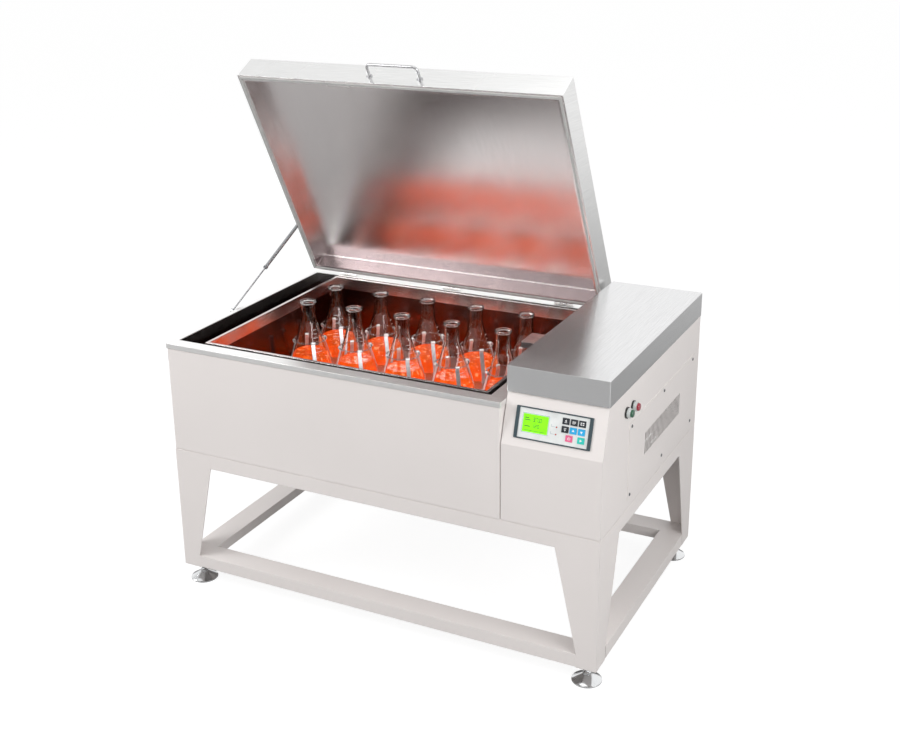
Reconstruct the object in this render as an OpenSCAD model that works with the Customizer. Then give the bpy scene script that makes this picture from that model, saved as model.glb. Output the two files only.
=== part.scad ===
// Floor-standing incubated orbital shaker: a chest chamber with a hinged lid, a control
// housing at its right, and an orbiting platform of flasks inside.
// Millimetres, +Z up. The origin is the middle of the front left foot's pad, on the floor.
// +X runs right along the front and +Y runs to the back.

/* [Stand] */
// Width of the stand and cabinet
cabinet_w = 1300; // [1240:10:1400]
// Depth of the stand and cabinet
cabinet_d = 810; // [790:10:880]
// Height of the seam between stand and cabinet
stand_h = 430; // [380:5:480]
// Sheet thickness of legs and rails
stand_sheet = 2.5; // [2:0.5:4]
// Width of a leg's front flange at its top
leg_top_w = 120; // [90:5:150]
// Width of a leg's side flange at its top
leg_side_top_w = 145; // [100:5:170]
// Width of a leg's front flange at its foot
leg_foot_w = 56; // [50:1:70]
// Width of a leg's side flange at its foot
leg_side_foot_w = 66; // [60:1:80]
// Height of the top rails
top_rail_h = 42; // [30:1:60]
// Width of the top rails' flat flanges
top_rail_w = 40; // [30:1:60]
// Height of the lower rails
lower_rail_h = 36; // [30:1:50]
// Width of the lower rails' top faces
lower_rail_w = 70; // [66:1:90]
// Thickness of the plate that holds a foot's stud
foot_plate_t = 6; // [4:1:10]

/* [Levelling feet] */
// Distance from the cabinet's corner to a foot's axis, each way
foot_inset = 38; // [34:1:42]
// Clearance from the floor to the legs
leg_clear = 55; // [48:1:62]
// Diameter of a foot's pad
foot_pad_d = 80; // [60:1:90]
// Height of the pad's cone
foot_cone_h = 21; // [15:1:26]
// Diameter of a foot's stud
stud_d = 12; // [10:1:16]
// Width of a locknut across its flats
nut_across = 22; // [20:1:26]
// Height of a locknut
nut_h = 10; // [7:1:12]

/* [Cabinet] */
// Width of the chamber's casing
chamber_w = 1029; // [1000:1:1040]
// Height of the chamber's casing above the floor pan
chamber_h = 320; // [310:2:326]
// Sheet thickness of the painted casings
casing_sheet = 1.5; // [1:0.1:2]
// Thickness of the cabinet's floor pan
pan_t = 2.5; // [2:0.5:4]
// Gap between the chamber's casing and the control housing
seam = 2.5; // [1.5:0.5:4]
// Radius of the cabinet's upright corners
corner_r = 4; // [2:0.5:6]

/* [Rim and liner] */
// Height of the stainless rim
rim_h = 14; // [10:1:20]
// Sheet thickness of the stainless rim
rim_sheet = 1.5; // [1:0.1:2]
// How far the rim stands proud of the casing
rim_proud = 2; // [2:0.25:3]
// Rim width at the left of the chamber's mouth
rim_left = 16; // [14:1:24]
// Rim width at the front of the mouth
rim_front = 37; // [30:1:44]
// Rim width at the right of the mouth
rim_right = 41; // [34:1:48]
// Rim width at the back of the mouth
rim_rear = 34; // [34:1:40]
// Sheet thickness of the stainless liner
liner_sheet = 1.5; // [1:0.1:2]
// Height of the liner's floor above the cabinet's floor pan
liner_floor_up = 68; // [64:1:76]

/* [Air frame] */
// Width of the warm air duct at the left of the air frame
left_duct_w = 74; // [70:1:78]
// Width of the return air slot at its right
right_duct_w = 17; // [14:1:24]
// Gap between the frame and the liner's front wall
front_gap = 21; // [16:1:24]
// Gap between the frame and the liner's back wall
rear_gap = 4; // [3:1:8]
// Height of the frame's folded top band
band_h = 36; // [24:1:44]
// Thickness of the folded band
band_t = 9; // [6:1:12]
// How far the frame's top stays below the rim's top
frame_drop = 4; // [2:1:8]

/* [Control housing] */
// Height of the upright part of the housing's front, above the floor pan
crease_h = 212; // [200:1:216]
// Height of the control housing, above the floor pan
housing_h = 340.5; // [338:0.5:352]
// How far the sloped control panel leans back at its top
panel_lean = 42; // [30:1:50]
// Height of the stainless housing cover
cover_h = 68; // [60:1:76]
// Sheet thickness of the cover
cover_sheet = 1.2; // [1:0.1:2]
// How far the cover overhangs the housing
cover_over = 1.5; // [1:0.25:2.5]
// Width of the control panel's bezel
bezel_w = 202; // [190:1:212]
// Height of the control panel's bezel
bezel_h = 81; // [76:1:90]
// Distance up the slope to the bezel's lower edge
bezel_up = 22; // [16:1:26]
// Distance from the housing's left side to the bezel
bezel_in = 31; // [24:1:36]
// Width of the bezel's dark side borders
bezel_side = 9; // [6:0.5:11]
// Height of the bezel's dark top and bottom borders
bezel_edge = 3; // [2:0.5:5]
// Width of the display
display_w = 67; // [60:1:72]
// Height of the display
display_h = 45; // [40:1:48]
// Distance between key centres
key_pitch = 21.3; // [20:0.1:22]
// Width of a key
key_w = 18; // [14:0.5:18.5]
// Height of a key
key_h = 15.5; // [12:0.5:16]
// Travel of a key
key_travel = 0.6; // [0.4:0.1:0.8]

/* [Side panel] */
// Distance from the front to the access panel
access_y = 195; // [185:1:205]
// Length of the access panel
access_w = 568; // [540:1:580]
// Height of the access panel
access_h = 218; // [205:1:226]
// Height of the access panel's lower edge above the floor pan
access_up = 20; // [14:1:26]
// Thickness of the access panel
access_t = 1.2; // [1:0.1:2]
// Length of the air grille
grille_w = 312; // [280:1:330]
// Height of the air grille
grille_h = 63; // [54:1:70]
// Distance between the grille's slots
grille_pitch = 11.5; // [10:0.5:13]
// Width of a grille slot
slot_w = 6.5; // [5:0.25:8]
// Diameter of a side button's ring
button_ring_d = 30; // [26:1:34]
// Diameter of a side button's cap
button_cap_d = 20; // [16:1:22]
// Travel of a side button
button_travel = 4; // [3:0.5:5]

/* [Lid] */
// Width of the lid
lid_w = 1016; // [1012:1:1020]
// Length of the lid from its front to its back wall
lid_len = 774; // [770:1:776]
// Height of the lid
lid_h = 80; // [70:1:84]
// Sheet thickness of the lid
lid_sheet = 1.2; // [1:0.1:2]
// Depth of the pan inside the lid
pan_depth = 50; // [40:1:56]
// Width of the flat flange around the pan
lid_flange = 18; // [16:1:24]
// Gap between the closed lid and the rim, filled by the gasket
lid_gap = 3.5; // [3:0.25:4.5]
// Opening angle of the lid as drawn
lid_open = 62; // [45:1:70]
// Length of the lid's handle
handle_w = 158; // [120:1:180]
// How far the handle stands off
handle_reach = 40; // [34:1:50]
// Diameter of the handle's rod
handle_d = 9; // [8:0.5:12]
// Number of lid hinges
hinge_count = 3; // [2:1:4]
// Width of a hinge
hinge_w = 60; // [50:1:80]
// Diameter of a hinge's knuckles
knuckle_d = 10; // [9:0.5:10]
// Diameter of a hinge's pin
hinge_pin_d = 5; // [4:0.5:6]

/* [Gas strut] */
// Distance from the front to the strut's lower stud
strut_low_y = 333; // [300:1:350]
// Distance from the hinge to the strut's upper stud, along the lid
strut_up_along = 180; // [165:1:190]
// Height of the upper stud above the hinge line, with the lid closed
strut_up_high = 31; // [26:1:36]
// Length of the strut's tube
strut_tube_l = 225; // [205:1:228]
// Diameter of the strut's tube
strut_tube_d = 11; // [10:0.5:14]
// Diameter of the strut's rod
strut_rod_d = 5; // [4:0.5:6]

/* [Platform and drive] */
// Radius of the orbit
orbit_r = 13; // [10:0.5:14]
// Width of the platform
platform_w = 836; // [820:1:840]
// Depth of the platform
platform_d = 672; // [650:1:676]
// Sheet thickness of the platform
platform_t = 3; // [2:0.5:4]
// Height of the platform's top above the liner's floor
platform_up = 41; // [40:0.5:46]
// Depth of the platform's folded edges
platform_edge = 18; // [12:1:20]
// Diameter of the crank shafts
shaft_d = 24; // [20:1:30]
// Diameter of the eccentric pins
crank_pin_d = 16; // [14:1:18]
// Diameter of the large drive pulley
big_pulley_d = 150; // [140:1:170]
// Diameter of the motor's pulley
small_pulley_d = 50; // [44:1:60]
// Width of the drive belt
belt_w = 12; // [10:1:14]
// Thickness of the drive belt
belt_t = 4; // [3:0.5:5]

/* [Flasks] */
// Columns of flasks
flask_columns = 5; // [4:1:5]
// Rows of flasks
flask_rows = 2; // [1:1:2]
// Distance between flasks
flask_pitch = 164; // [160:1:166]
// Distance from the air frame's left wall to the first flask's axis
flask_from_left = 78; // [76:1:84]
// Distance from the air frame's back wall to the last flask's axis
flask_from_rear = 132; // [120:1:150]
// Diameter of a flask's base
flask_d = 131; // [120:1:134]
// Height of a flask
flask_h = 220; // [205:1:225]
// Diameter of a flask's neck
flask_neck_d = 42; // [36:1:46]
// Wall of a flask
flask_wall = 2.2; // [1.8:0.1:3]
// Height of the liquid in a flask
fill_h = 56; // [40:1:90]
// Height of a clamp's spring above the platform
clamp_h = 97; // [80:1:110]

/* [Fits] */
// Radial clearance of a pin in its hole
fit = 0.06; // [0.03:0.01:0.09]
// Gap between pieces that must not touch
gap = 0.3; // [0.2:0.05:0.5]

/* [Hidden] */
$fn = 48;

powder = [0.90, 0.88, 0.85];
steel = [0.72, 0.73, 0.74];
dark = [0.16, 0.17, 0.18];
eps = 0.01;

// Levels of the stand and cabinet
rail_bottom_z = leg_clear + 2;
rail_top_z = rail_bottom_z + lower_rail_h;
pan_top_z = stand_h + pan_t;
casing_top_z = pan_top_z + chamber_h;
rim_top_z = casing_top_z + rim_sheet;
crease_z = pan_top_z + crease_h;
housing_top_z = pan_top_z + housing_h;
liner_floor_z = pan_top_z + liner_floor_up;

// The chamber's mouth
mouth_x0 = rim_left;
mouth_x1 = chamber_w - rim_right;
mouth_y0 = rim_front;
mouth_y1 = cabinet_d - rim_rear;

// The air frame inside it
frame_x0 = mouth_x0 + left_duct_w;
frame_x1 = mouth_x1 - right_duct_w;
frame_y0 = mouth_y0 + front_gap;
frame_y1 = mouth_y1 - rear_gap;
frame_top_z = rim_top_z - frame_drop;
frame_bottom_z = liner_floor_z + liner_sheet;

// The control housing and its sloped panel
housing_x0 = chamber_w + seam;
slope_h = housing_top_z - crease_z;
slope_angle = atan(panel_lean / slope_h);
bezel_x0 = housing_x0 + bezel_in;
bezel_t = 3;
membrane_t = 1.2;
key_proud = 1;
keys_x = bezel_x0 + 132;
keys_y = bezel_up + 20.5;
key_places = [[0, 2], [1, 2], [2, 2], [0, 1], [1, 1], [2, 1], [0.6, 0], [2.05, 0]];
display_x = bezel_x0 + 20;
display_y = bezel_up + 19;
display_t = 6;
light_x = bezel_x0 + 109.5;
light_ys = [25, 43];
light_d = 4;
board_z = -14;
board_t = 1.6;

// The side panel, its screws, the two buttons and the power inlet
access_z = pan_top_z + access_up;
screw_ys = [access_y + 16, access_y + access_w / 2, access_y + access_w - 16];
screw_zs = [access_z + 14, access_z + access_h - 12];
screw_hole_d = 5;
frame_overlap = 26;
button_z = pan_top_z + 280;
button_ys = [166, 214];
button_barrel_d = 22;
button_ring_h = 4.5;
button_seat = 6;
inlet_x = cabinet_w - 68.5;
inlet_z = pan_top_z + 50;
vent_step = (cabinet_w - housing_x0) / 28;

// The lid, drawn closed and then turned about its hinge
lid_x0 = 0;
lid_z0 = rim_top_z + lid_gap;
lid_y1 = cabinet_d - rim_rear + 2;
lid_y0 = lid_y1 - lid_len;
hinge_back = 6;
hinge_y = lid_y1 + hinge_back;
hinge_z = rim_top_z + knuckle_d / 2 + 0.5;
handle_z = lid_z0 + 30;
hinge_inset = 130;
hinge_leaf_w = 22;
hinge_leaf_t = 2;
hinge_leaf_up = 40;
middle_knuckle = hinge_w * 0.4;
handle_bend = 14;

// The gas strut lies in its own plane at the left of the lid
strut_x = -12;
strut_low_z = rim_top_z - 6;
strut_up_y = hinge_y - strut_up_along * cos(lid_open) + strut_up_high * sin(lid_open);
strut_up_z = hinge_z + strut_up_along * sin(lid_open) + strut_up_high * cos(lid_open);
strut_len = norm([strut_up_y - strut_low_y, strut_up_z - strut_low_z]);
strut_angle = atan2(strut_up_z - strut_low_z, strut_up_y - strut_low_y);
strut_eye_d = 14;
strut_eye_w = 8;
strut_pin_d = 6;
strut_wall = 1.5;
strut_nose = 10;
piston_l = 14;

// The platform and its drive
platform_cx = (frame_x0 + frame_x1) / 2;
platform_cy = (frame_y0 + frame_y1) / 2;
platform_z = liner_floor_z + platform_up;
crank_t = 12;
crank_z = liner_floor_z + liner_sheet + 5;
crank_rim = 5;
weight_r = 58;
boss_wall = 7;
drive_z = pan_top_z;
drive_plate_t = 6;
idler_dx = 270;
idler_dy = 170;
base_margin = 50;
bearing_r = 27;
bearing_step = 8;
bearing_top_z = liner_floor_z + liner_sheet + 1;
shaft_bottom_z = drive_z + casing_sheet + 1;
pulley_z = drive_z + drive_plate_t + 6;
pulley_flange = 4;
bridge_z = pulley_z + belt_w + 8;
bridge_t = 8;
bridge_w = 20;
bridge_leg = 12;
motor_x = (housing_x0 + cabinet_w) / 2;
motor_y = platform_cy;
motor_base_z = pulley_z + belt_w + 12;
motor_d = 96;
motor_h = 150;
motor_cap_h = 14;
motor_fin = 3;
motor_plate_t = 6;
motor_leg = 56;
motor_leg_d = 12;
motor_shaft_d = 14;
belt_room = 8;
crank_places = [
  [platform_cx, platform_cy],
  [platform_cx - idler_dx, platform_cy - idler_dy],
  [platform_cx + idler_dx, platform_cy + idler_dy]
];

// The flasks
clamp_t = 1.5;
flask_base_z = platform_z + clamp_t + gap;
cone_low = 22;
cone_high = flask_h * 0.75;
prong_w = 12;
spring_d = 5;
curl_d = spring_d + 1.2;

// The fan and the heater stand in the left duct
fan_x = mouth_x0 + left_duct_w / 2;
fan_y = mouth_y0 + 560;
fan_z = frame_bottom_z + 120;
fan_r = 30;
fan_hub_d = 22;
fan_shaft_d = 6;
fan_motor_d = 46;
fan_motor_l = 60;
heater_d = 8;
heater_step = 32;
heater_y0 = mouth_y0 + 60;
heater_y1 = mouth_y0 + 470;
heater_z = frame_bottom_z + 60;
heater_clip = 8;

// Places the drawing in the object's frame
module in_frame() {
  translate([-foot_inset, -foot_inset, 0]) children();
}

// A block from one corner to the other
module block(a, b) {
  translate(a) cube([b[0] - a[0], b[1] - a[1], b[2] - a[2]]);
}

// A flat rectangle with round corners, its lower left corner at the origin
module round_rect(w, d, r) {
  translate([r, 0]) square([w - 2 * r, d]);
  translate([0, r]) square([w, d - 2 * r]);
  for (x = [r, w - r], y = [r, d - r])
    translate([x, y]) circle(r);
}

// An upright wall of one thickness round a rectangle with round corners
module ring_wall(x0, y0, x1, y1, z0, z1, t, r) {
  translate([x0, y0, z0])
    linear_extrude(z1 - z0)
      difference() {
        round_rect(x1 - x0, y1 - y0, r);
        translate([t, t]) round_rect(x1 - x0 - 2 * t, y1 - y0 - 2 * t, max(r - t, 0.3));
      }
}

// Extrudes a side view, given as Y and Z, along X
module along_x(x0, x1) {
  translate([x0, 0, 0]) rotate([90, 0, 90]) linear_extrude(x1 - x0) children();
}

// Extrudes a front view, given as X and Z, along Y
module along_y(y0, y1) {
  translate([0, y1, 0]) rotate([90, 0, 0]) linear_extrude(y1 - y0) children();
}

// Puts a front left corner's piece at any corner of the cabinet
module at_corner(right, rear) {
  translate([right ? cabinet_w : 0, rear ? cabinet_d : 0, 0])
    if (right && rear) rotate([0, 0, 180]) children();
    else if (right) mirror([1, 0, 0]) children();
    else if (rear) mirror([0, 1, 0]) children();
    else children();
}

// The outline of one leg flange: wide at the top rail, narrow at the lower rail
module leg_flange(foot_w, top_w) {
  polygon([
    [0, leg_clear],
    [foot_w, leg_clear],
    [foot_w, rail_top_z],
    [top_w, stand_h - top_rail_h],
    [top_w, stand_h],
    [0, stand_h]
  ]);
}

// One leg: a folded angle with the plate that its foot screws into
module leg(right, rear) {
  at_corner(right, rear) {
    along_y(0, stand_sheet) leg_flange(leg_foot_w, leg_top_w);
    along_x(0, stand_sheet) leg_flange(leg_side_foot_w, leg_side_top_w);
    difference() {
      block([eps, eps, leg_clear], [leg_foot_w, leg_side_foot_w, leg_clear + foot_plate_t]);
      translate([foot_inset, foot_inset, leg_clear - 1])
        cylinder(d = stud_d + 2 * fit, h = foot_plate_t + 2);
    }
  }
}

// The four legs, two at the front and two at the back
module stand_legs() {
  color(powder) in_frame()
    for (right = [false, true], rear = [false, true]) leg(right, rear);
}

// The side view of a top rail: face, top flange and bottom lip
module top_rail_profile() {
  translate([0, stand_h - top_rail_h]) square([stand_sheet, top_rail_h]);
  translate([0, stand_h - stand_sheet]) square([top_rail_w, stand_sheet]);
  translate([0, stand_h - top_rail_h]) square([top_rail_w * 0.6, stand_sheet]);
}

// The four top rails between the legs
module top_rails() {
  color(powder) in_frame() {
    for (rear = [false, true])
      at_corner(false, rear)
        along_x(leg_top_w, cabinet_w - leg_top_w) top_rail_profile();
    for (right = [false, true])
      at_corner(right, false)
        along_y(leg_side_top_w, cabinet_d - leg_side_top_w) top_rail_profile();
  }
}

// The side view of a lower rail without its face: top plate and inner lip
module lower_rail_tray(y0) {
  translate([y0, rail_top_z - stand_sheet]) square([lower_rail_w - y0, stand_sheet]);
  translate([lower_rail_w - stand_sheet, rail_bottom_z + 6])
    square([stand_sheet, lower_rail_h - 6]);
}

// The four lower rails: channels that close the stand's corners above the feet
module lower_rails() {
  color(powder) in_frame() {
    for (rear = [false, true])
      at_corner(false, rear) {
        along_x(leg_foot_w, cabinet_w - leg_foot_w) {
          translate([0, rail_bottom_z]) square([stand_sheet, lower_rail_h]);
          lower_rail_tray(0);
        }
        along_x(stand_sheet, cabinet_w - stand_sheet)
          translate([stand_sheet, rail_top_z - stand_sheet])
            square([lower_rail_w - stand_sheet, stand_sheet]);
      }
    for (right = [false, true])
      at_corner(right, false) {
        along_y(lower_rail_w + gap, cabinet_d - lower_rail_w - gap) {
          translate([0, rail_bottom_z]) square([stand_sheet, lower_rail_h]);
          lower_rail_tray(0);
        }
      }
  }
}

// Locknuts against the undersides of the foot plates
module foot_locknuts() {
  color("silver") in_frame()
    for (right = [false, true], rear = [false, true])
      at_corner(right, rear)
        translate([foot_inset, foot_inset, leg_clear - nut_h])
          difference() {
            cylinder(d = nut_across / cos(30), h = nut_h, $fn = 6);
            translate([0, 0, -1]) cylinder(d = stud_d + 2 * fit, h = nut_h + 2);
          }
}

// One levelling foot: a coned pad, its neck and its stud
module foot(right, rear) {
  r = foot_pad_d / 2;
  stud_top = rail_top_z - stand_sheet - 3;
  color("silver") in_frame() at_corner(right, rear)
    translate([foot_inset, foot_inset, 0])
      rotate_extrude()
        polygon([
          [0, 0], [r - 1.5, 0], [r, 1.5], [r, 4], [r - 3, 5.5],
          [stud_d / 2 + 5, foot_cone_h], [stud_d / 2 + 5, foot_cone_h + 5],
          [stud_d / 2 + 2, foot_cone_h + 8], [stud_d / 2, foot_cone_h + 8],
          [stud_d / 2, stud_top - 1], [stud_d / 2 - 1, stud_top], [0, stud_top]
        ]);
}
module foot_front_left() { foot(false, false); }
module foot_front_right() { foot(true, false); }
module foot_rear_left() { foot(false, true); }
module foot_rear_right() { foot(true, true); }

// The floor pan under the whole cabinet, set in a little to leave the seam's shadow line
module base_pan() {
  inset = 1;
  color(powder) in_frame() difference() {
    block([inset, inset, stand_h], [cabinet_w - inset, cabinet_d - inset, pan_top_z]);
    for (i = [0:7])
      translate([housing_x0 + (6 + 2 * i) * vent_step, cabinet_d - 190, stand_h - 1])
        cube([6, 120, pan_t + 2]);
  }
}

// The opening that the belt passes through, in both casings
module belt_slot(x0, x1) {
  half = big_pulley_d / 2 + belt_t + belt_room;
  block([x0, motor_y - half, pulley_z - belt_room / 2],
    [x1, motor_y + half, pulley_z + belt_w + belt_room]);
}

// The painted casing round the chamber
module chamber_casing() {
  color(powder) in_frame() difference() {
    union() {
      ring_wall(0, 0, chamber_w, cabinet_d, pan_top_z, casing_top_z, casing_sheet, corner_r);
      // A flange turned in at the foot screws to the floor pan
      ring_wall(casing_sheet - eps, casing_sheet - eps, chamber_w - casing_sheet + eps,
        cabinet_d - casing_sheet + eps, pan_top_z, pan_top_z + casing_sheet, 18, 3);
    }
    belt_slot(chamber_w - casing_sheet - 30, chamber_w + 1);
  }
}

// The side view of the control housing, kept back by a margin from its outer face
module housing_profile(m) {
  over = m > 0 ? 1 : 0;
  polygon([
    [m, pan_top_z - over],
    [m, crease_z - m * tan(slope_angle / 2)],
    [panel_lean + m / cos(slope_angle) + over * tan(slope_angle), housing_top_z + over],
    [cabinet_d - m, housing_top_z + over],
    [cabinet_d - m, pan_top_z - over]
  ]);
}

// Places things on the sloped panel: X runs right, Y runs up the slope, Z stands out of it
module on_slope() {
  translate([0, 0, crease_z]) rotate([90 - slope_angle, 0, 0]) children();
}

// The painted control housing with its sloped front
module control_housing() {
  t = casing_sheet;
  color(powder) in_frame() difference() {
    along_x(housing_x0, cabinet_w) housing_profile(0);
    along_x(housing_x0 + t, cabinet_w - t) housing_profile(t);
    on_slope()
      block([bezel_x0 + bezel_side, bezel_up + bezel_edge + 2, -6],
        [bezel_x0 + bezel_w - bezel_side, bezel_up + bezel_h - bezel_edge - 2, 4]);
    block([cabinet_w - t - 1, access_y + frame_overlap, access_z + frame_overlap],
      [cabinet_w + 1, access_y + access_w - frame_overlap, access_z + access_h - frame_overlap]);
    for (y = button_ys)
      translate([cabinet_w - t - 1, y, button_z]) rotate([0, 90, 0])
        cylinder(d = button_barrel_d + 2 * fit, h = t + 2);
    for (i = [0:9])
      translate([housing_x0 + (6 + 1.5 * i) * vent_step, cabinet_d - t - 1, housing_top_z - 90])
        cube([5, t + 2, 50]);
    block([inlet_x - 24, cabinet_d - t - 1, inlet_z - 16],
      [inlet_x + 24, cabinet_d + 1, inlet_z + 16]);
    belt_slot(housing_x0 - 1, housing_x0 + t + 1);
  }
}

// The stainless cap over the control housing
module housing_cover() {
  x0 = housing_x0 - 1;
  y0 = panel_lean - 6;
  w = cabinet_w + cover_over - x0;
  d = cabinet_d + cover_over - y0;
  color(steel) in_frame() translate([x0, y0, housing_top_z]) difference() {
    linear_extrude(cover_h) round_rect(w, d, 3);
    // The lip that rests on the housing stays; above it the cap is hollow
    translate([14, 14, -1]) cube([w - 28, d - 28, cover_h - cover_sheet + 1]);
    translate([cover_sheet, cover_sheet, cover_sheet])
      cube([w - 2 * cover_sheet, d - 2 * cover_sheet, cover_h - 2 * cover_sheet]);
  }
}

// The stainless rim round the chamber's mouth: a top plate with a skirt over the casing
module rim_frame() {
  skirt_x1 = housing_x0 - 0.5;
  color(steel) in_frame() difference() {
    union() {
      translate([-rim_proud, -rim_proud, casing_top_z])
        linear_extrude(rim_sheet)
          round_rect(skirt_x1 + rim_proud, cabinet_d + 2 * rim_proud, 3);
      ring_wall(-rim_proud, -rim_proud, skirt_x1, cabinet_d + rim_proud,
        rim_top_z - rim_h, casing_top_z + eps, rim_sheet, 3);
    }
    block([mouth_x0, mouth_y0, casing_top_z - 1], [mouth_x1, mouth_y1, rim_top_z + 1]);
  }
}

// The stainless tank that the platform works in
module chamber_liner() {
  t = liner_sheet;
  color(steel) in_frame() difference() {
    block([mouth_x0 - t, mouth_y0 - t, liner_floor_z],
      [mouth_x1 + t, mouth_y1 + t, casing_top_z]);
    block([mouth_x0, mouth_y0, liner_floor_z + t], [mouth_x1, mouth_y1, casing_top_z + 1]);
    for (p = crank_places)
      translate([p[0], p[1], liner_floor_z - 1]) cylinder(r = bearing_r + 3, h = t + 2);
  }
}

// The stainless frame that parts the working space from the air ducts
module air_frame() {
  t = 1.5;
  color(steel) in_frame() difference() {
    union() {
      ring_wall(frame_x0, frame_y0, frame_x1, frame_y1, frame_bottom_z, frame_top_z, t, 2);
      ring_wall(frame_x0, frame_y0, frame_x1, frame_y1,
        frame_top_z - band_h, frame_top_z, band_t, 2);
    }
    // Air slots low in the left wall and high in the right wall
    for (i = [0:21]) {
      block([frame_x0 - 1, frame_y0 + 40 + i * 29, frame_bottom_z + 18],
        [frame_x0 + t + 1, frame_y0 + 52 + i * 29, frame_bottom_z + 78]);
      block([frame_x1 - t - 1, frame_y0 + 40 + i * 29, frame_bottom_z + 90],
        [frame_x1 + 1, frame_y0 + 52 + i * 29, frame_bottom_z + 150]);
    }
  }
}

// The temperature sensor's bracket on the air frame's right wall
module sensor_bracket() {
  x1 = frame_x1 - band_t;
  x0 = x1 - 80;
  y0 = frame_y0 + 411;
  y1 = y0 + 80;
  z1 = frame_top_z - 10;
  color(steel) in_frame() difference() {
    union() {
      block([x0, y0, z1 - liner_sheet], [x1, y1, z1]);
      block([x0, y0, z1 - 18], [x1, y0 + liner_sheet, z1]);
      block([x1 - liner_sheet, y0, z1 - 24], [x1, y1, z1]);
      translate([x0 + 52, y0 + 20, z1 - 60]) cylinder(d = 6, h = 60);
    }
    for (x = [18, 34])
      translate([x0 + x, y0 + 46, z1 - 3]) cylinder(d = 9, h = 5);
  }
}

// The screwed access panel with its grille of upright slots
module access_panel() {
  gy = access_y + 130;
  gz = access_z + 80;
  slots = floor(grille_w / grille_pitch);
  color(powder) in_frame() difference() {
    block([cabinet_w, access_y, access_z],
      [cabinet_w + access_t, access_y + access_w, access_z + access_h]);
    for (i = [0:slots - 1])
      translate([cabinet_w - 1, gy + i * grille_pitch, gz])
        cube([access_t + 2, slot_w, grille_h]);
    for (y = screw_ys, z = screw_zs)
      translate([cabinet_w - 1, y, z]) rotate([0, 90, 0])
        cylinder(d = screw_hole_d, h = access_t + 2);
  }
}

// The six pan head screws that hold the access panel
module panel_screws() {
  color("silver") in_frame()
    for (y = screw_ys, z = screw_zs)
      translate([cabinet_w + access_t, y, z]) rotate([0, 90, 0]) {
        rotate_extrude()
          polygon([[0, -access_t], [2.3, -access_t], [2.3, 0], [4.5, 0], [4, 1.6], [2.5, 2.2], [0, 2.2]]);
      }
}

// Ring, clear collar and barrel of the two side buttons
module button_housings() {
  bore = button_cap_d + 2 * fit;
  color(dark) in_frame()
    for (y = button_ys)
      translate([cabinet_w, y, button_z]) rotate([0, 90, 0])
        difference() {
          union() {
            translate([0, 0, -26]) cylinder(d = button_barrel_d, h = 27);
            cylinder(d = button_ring_d, h = button_ring_h);
            cylinder(d = button_ring_d - 5, h = 13);
          }
          translate([0, 0, -10]) cylinder(d = bore - 4, h = 30);
          translate([0, 0, button_seat]) cylinder(d = bore, h = 30);
        }
}

// One side button's cap with its stem
module side_button(y, tint) {
  r = button_cap_d / 2;
  low = -button_travel - 1;
  step = button_seat + button_travel + 0.4;
  color(tint) in_frame()
    translate([cabinet_w, y, button_z]) rotate([0, 90, 0])
      rotate_extrude()
        polygon([
          [0, low], [r - 3, low], [r - 3, step], [r, step], [r, 17.5], [r - 1.5, 19], [0, 19.4]
        ]);
}
module start_button() { side_button(button_ys[0], "seagreen"); }
module stop_button() { side_button(button_ys[1], "crimson"); }

// The dark frame round the control panel
module panel_bezel() {
  color([0.24, 0.30, 0.34]) in_frame() on_slope()
    translate([bezel_x0, bezel_up, 0]) difference() {
      linear_extrude(bezel_t) round_rect(bezel_w, bezel_h, 2);
      translate([bezel_side, bezel_edge, -1])
        cube([bezel_w - 2 * bezel_side, bezel_h - 2 * bezel_edge, bezel_t + 2]);
    }
}

// The white overlay with a window for the display and for each key
module keypad_membrane() {
  w = bezel_w - 2 * bezel_side;
  h = bezel_h - 2 * bezel_edge;
  color("white") in_frame() on_slope() difference() {
    translate([bezel_x0 + bezel_side, bezel_up + bezel_edge, 0])
      cube([w, h, membrane_t]);
    translate([display_x, display_y, -1]) cube([display_w, display_h, membrane_t + 2]);
    for (p = key_places)
      translate([key_x(p) - key_w / 2 - gap, key_y(p) - key_h / 2 - gap, -1])
        cube([key_w + 2 * gap, key_h + 2 * gap, membrane_t + 2]);
    for (y = light_ys)
      translate([light_x, bezel_up + y, -1]) cylinder(d = light_d + 2 * fit, h = membrane_t + 2);
  }
}
function key_x(p) = keys_x + p[0] * key_pitch;
function key_y(p) = keys_y + p[1] * (key_pitch - 0.8);

// The liquid crystal display
module display() {
  color([0.45, 0.9, 0.05]) in_frame() on_slope() {
    translate([display_x, display_y, -display_t])
      cube([display_w, display_h, display_t + membrane_t - gap]);
  }
}

// The two indicator lights: light pipes that stand on the circuit board
module indicator_lights() {
  color([0.85, 0.2, 0.1]) in_frame() on_slope()
    for (y = light_ys)
      translate([light_x, bezel_up + y, board_z])
        rotate_extrude()
          polygon([
            [0, 0], [light_d / 2, 0], [light_d / 2, 1.4 - board_z],
            [light_d / 2 - 0.8, 2 - board_z], [0, 2.2 - board_z]
          ]);
}

// One key: a pad in its window with a plunger behind it
module key(i, tint) {
  p = key_places[i];
  color(tint) in_frame() on_slope()
    translate([key_x(p), key_y(p), 0]) {
      translate([-key_w / 2, -key_h / 2, -1]) cube([key_w, key_h, 1 + membrane_t + key_proud]);
      translate([0, 0, -4]) cylinder(d = 5, h = 3.5);
    }
}
module key_1() { key(0, dark); }
module key_2() { key(1, dark); }
module key_3() { key(2, dark); }
module key_4() { key(3, dark); }
module key_5() { key(4, "deepskyblue"); }
module key_6() { key(5, "deepskyblue"); }
module key_7() { key(6, "hotpink"); }
module key_8() { key(7, "turquoise"); }

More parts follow.
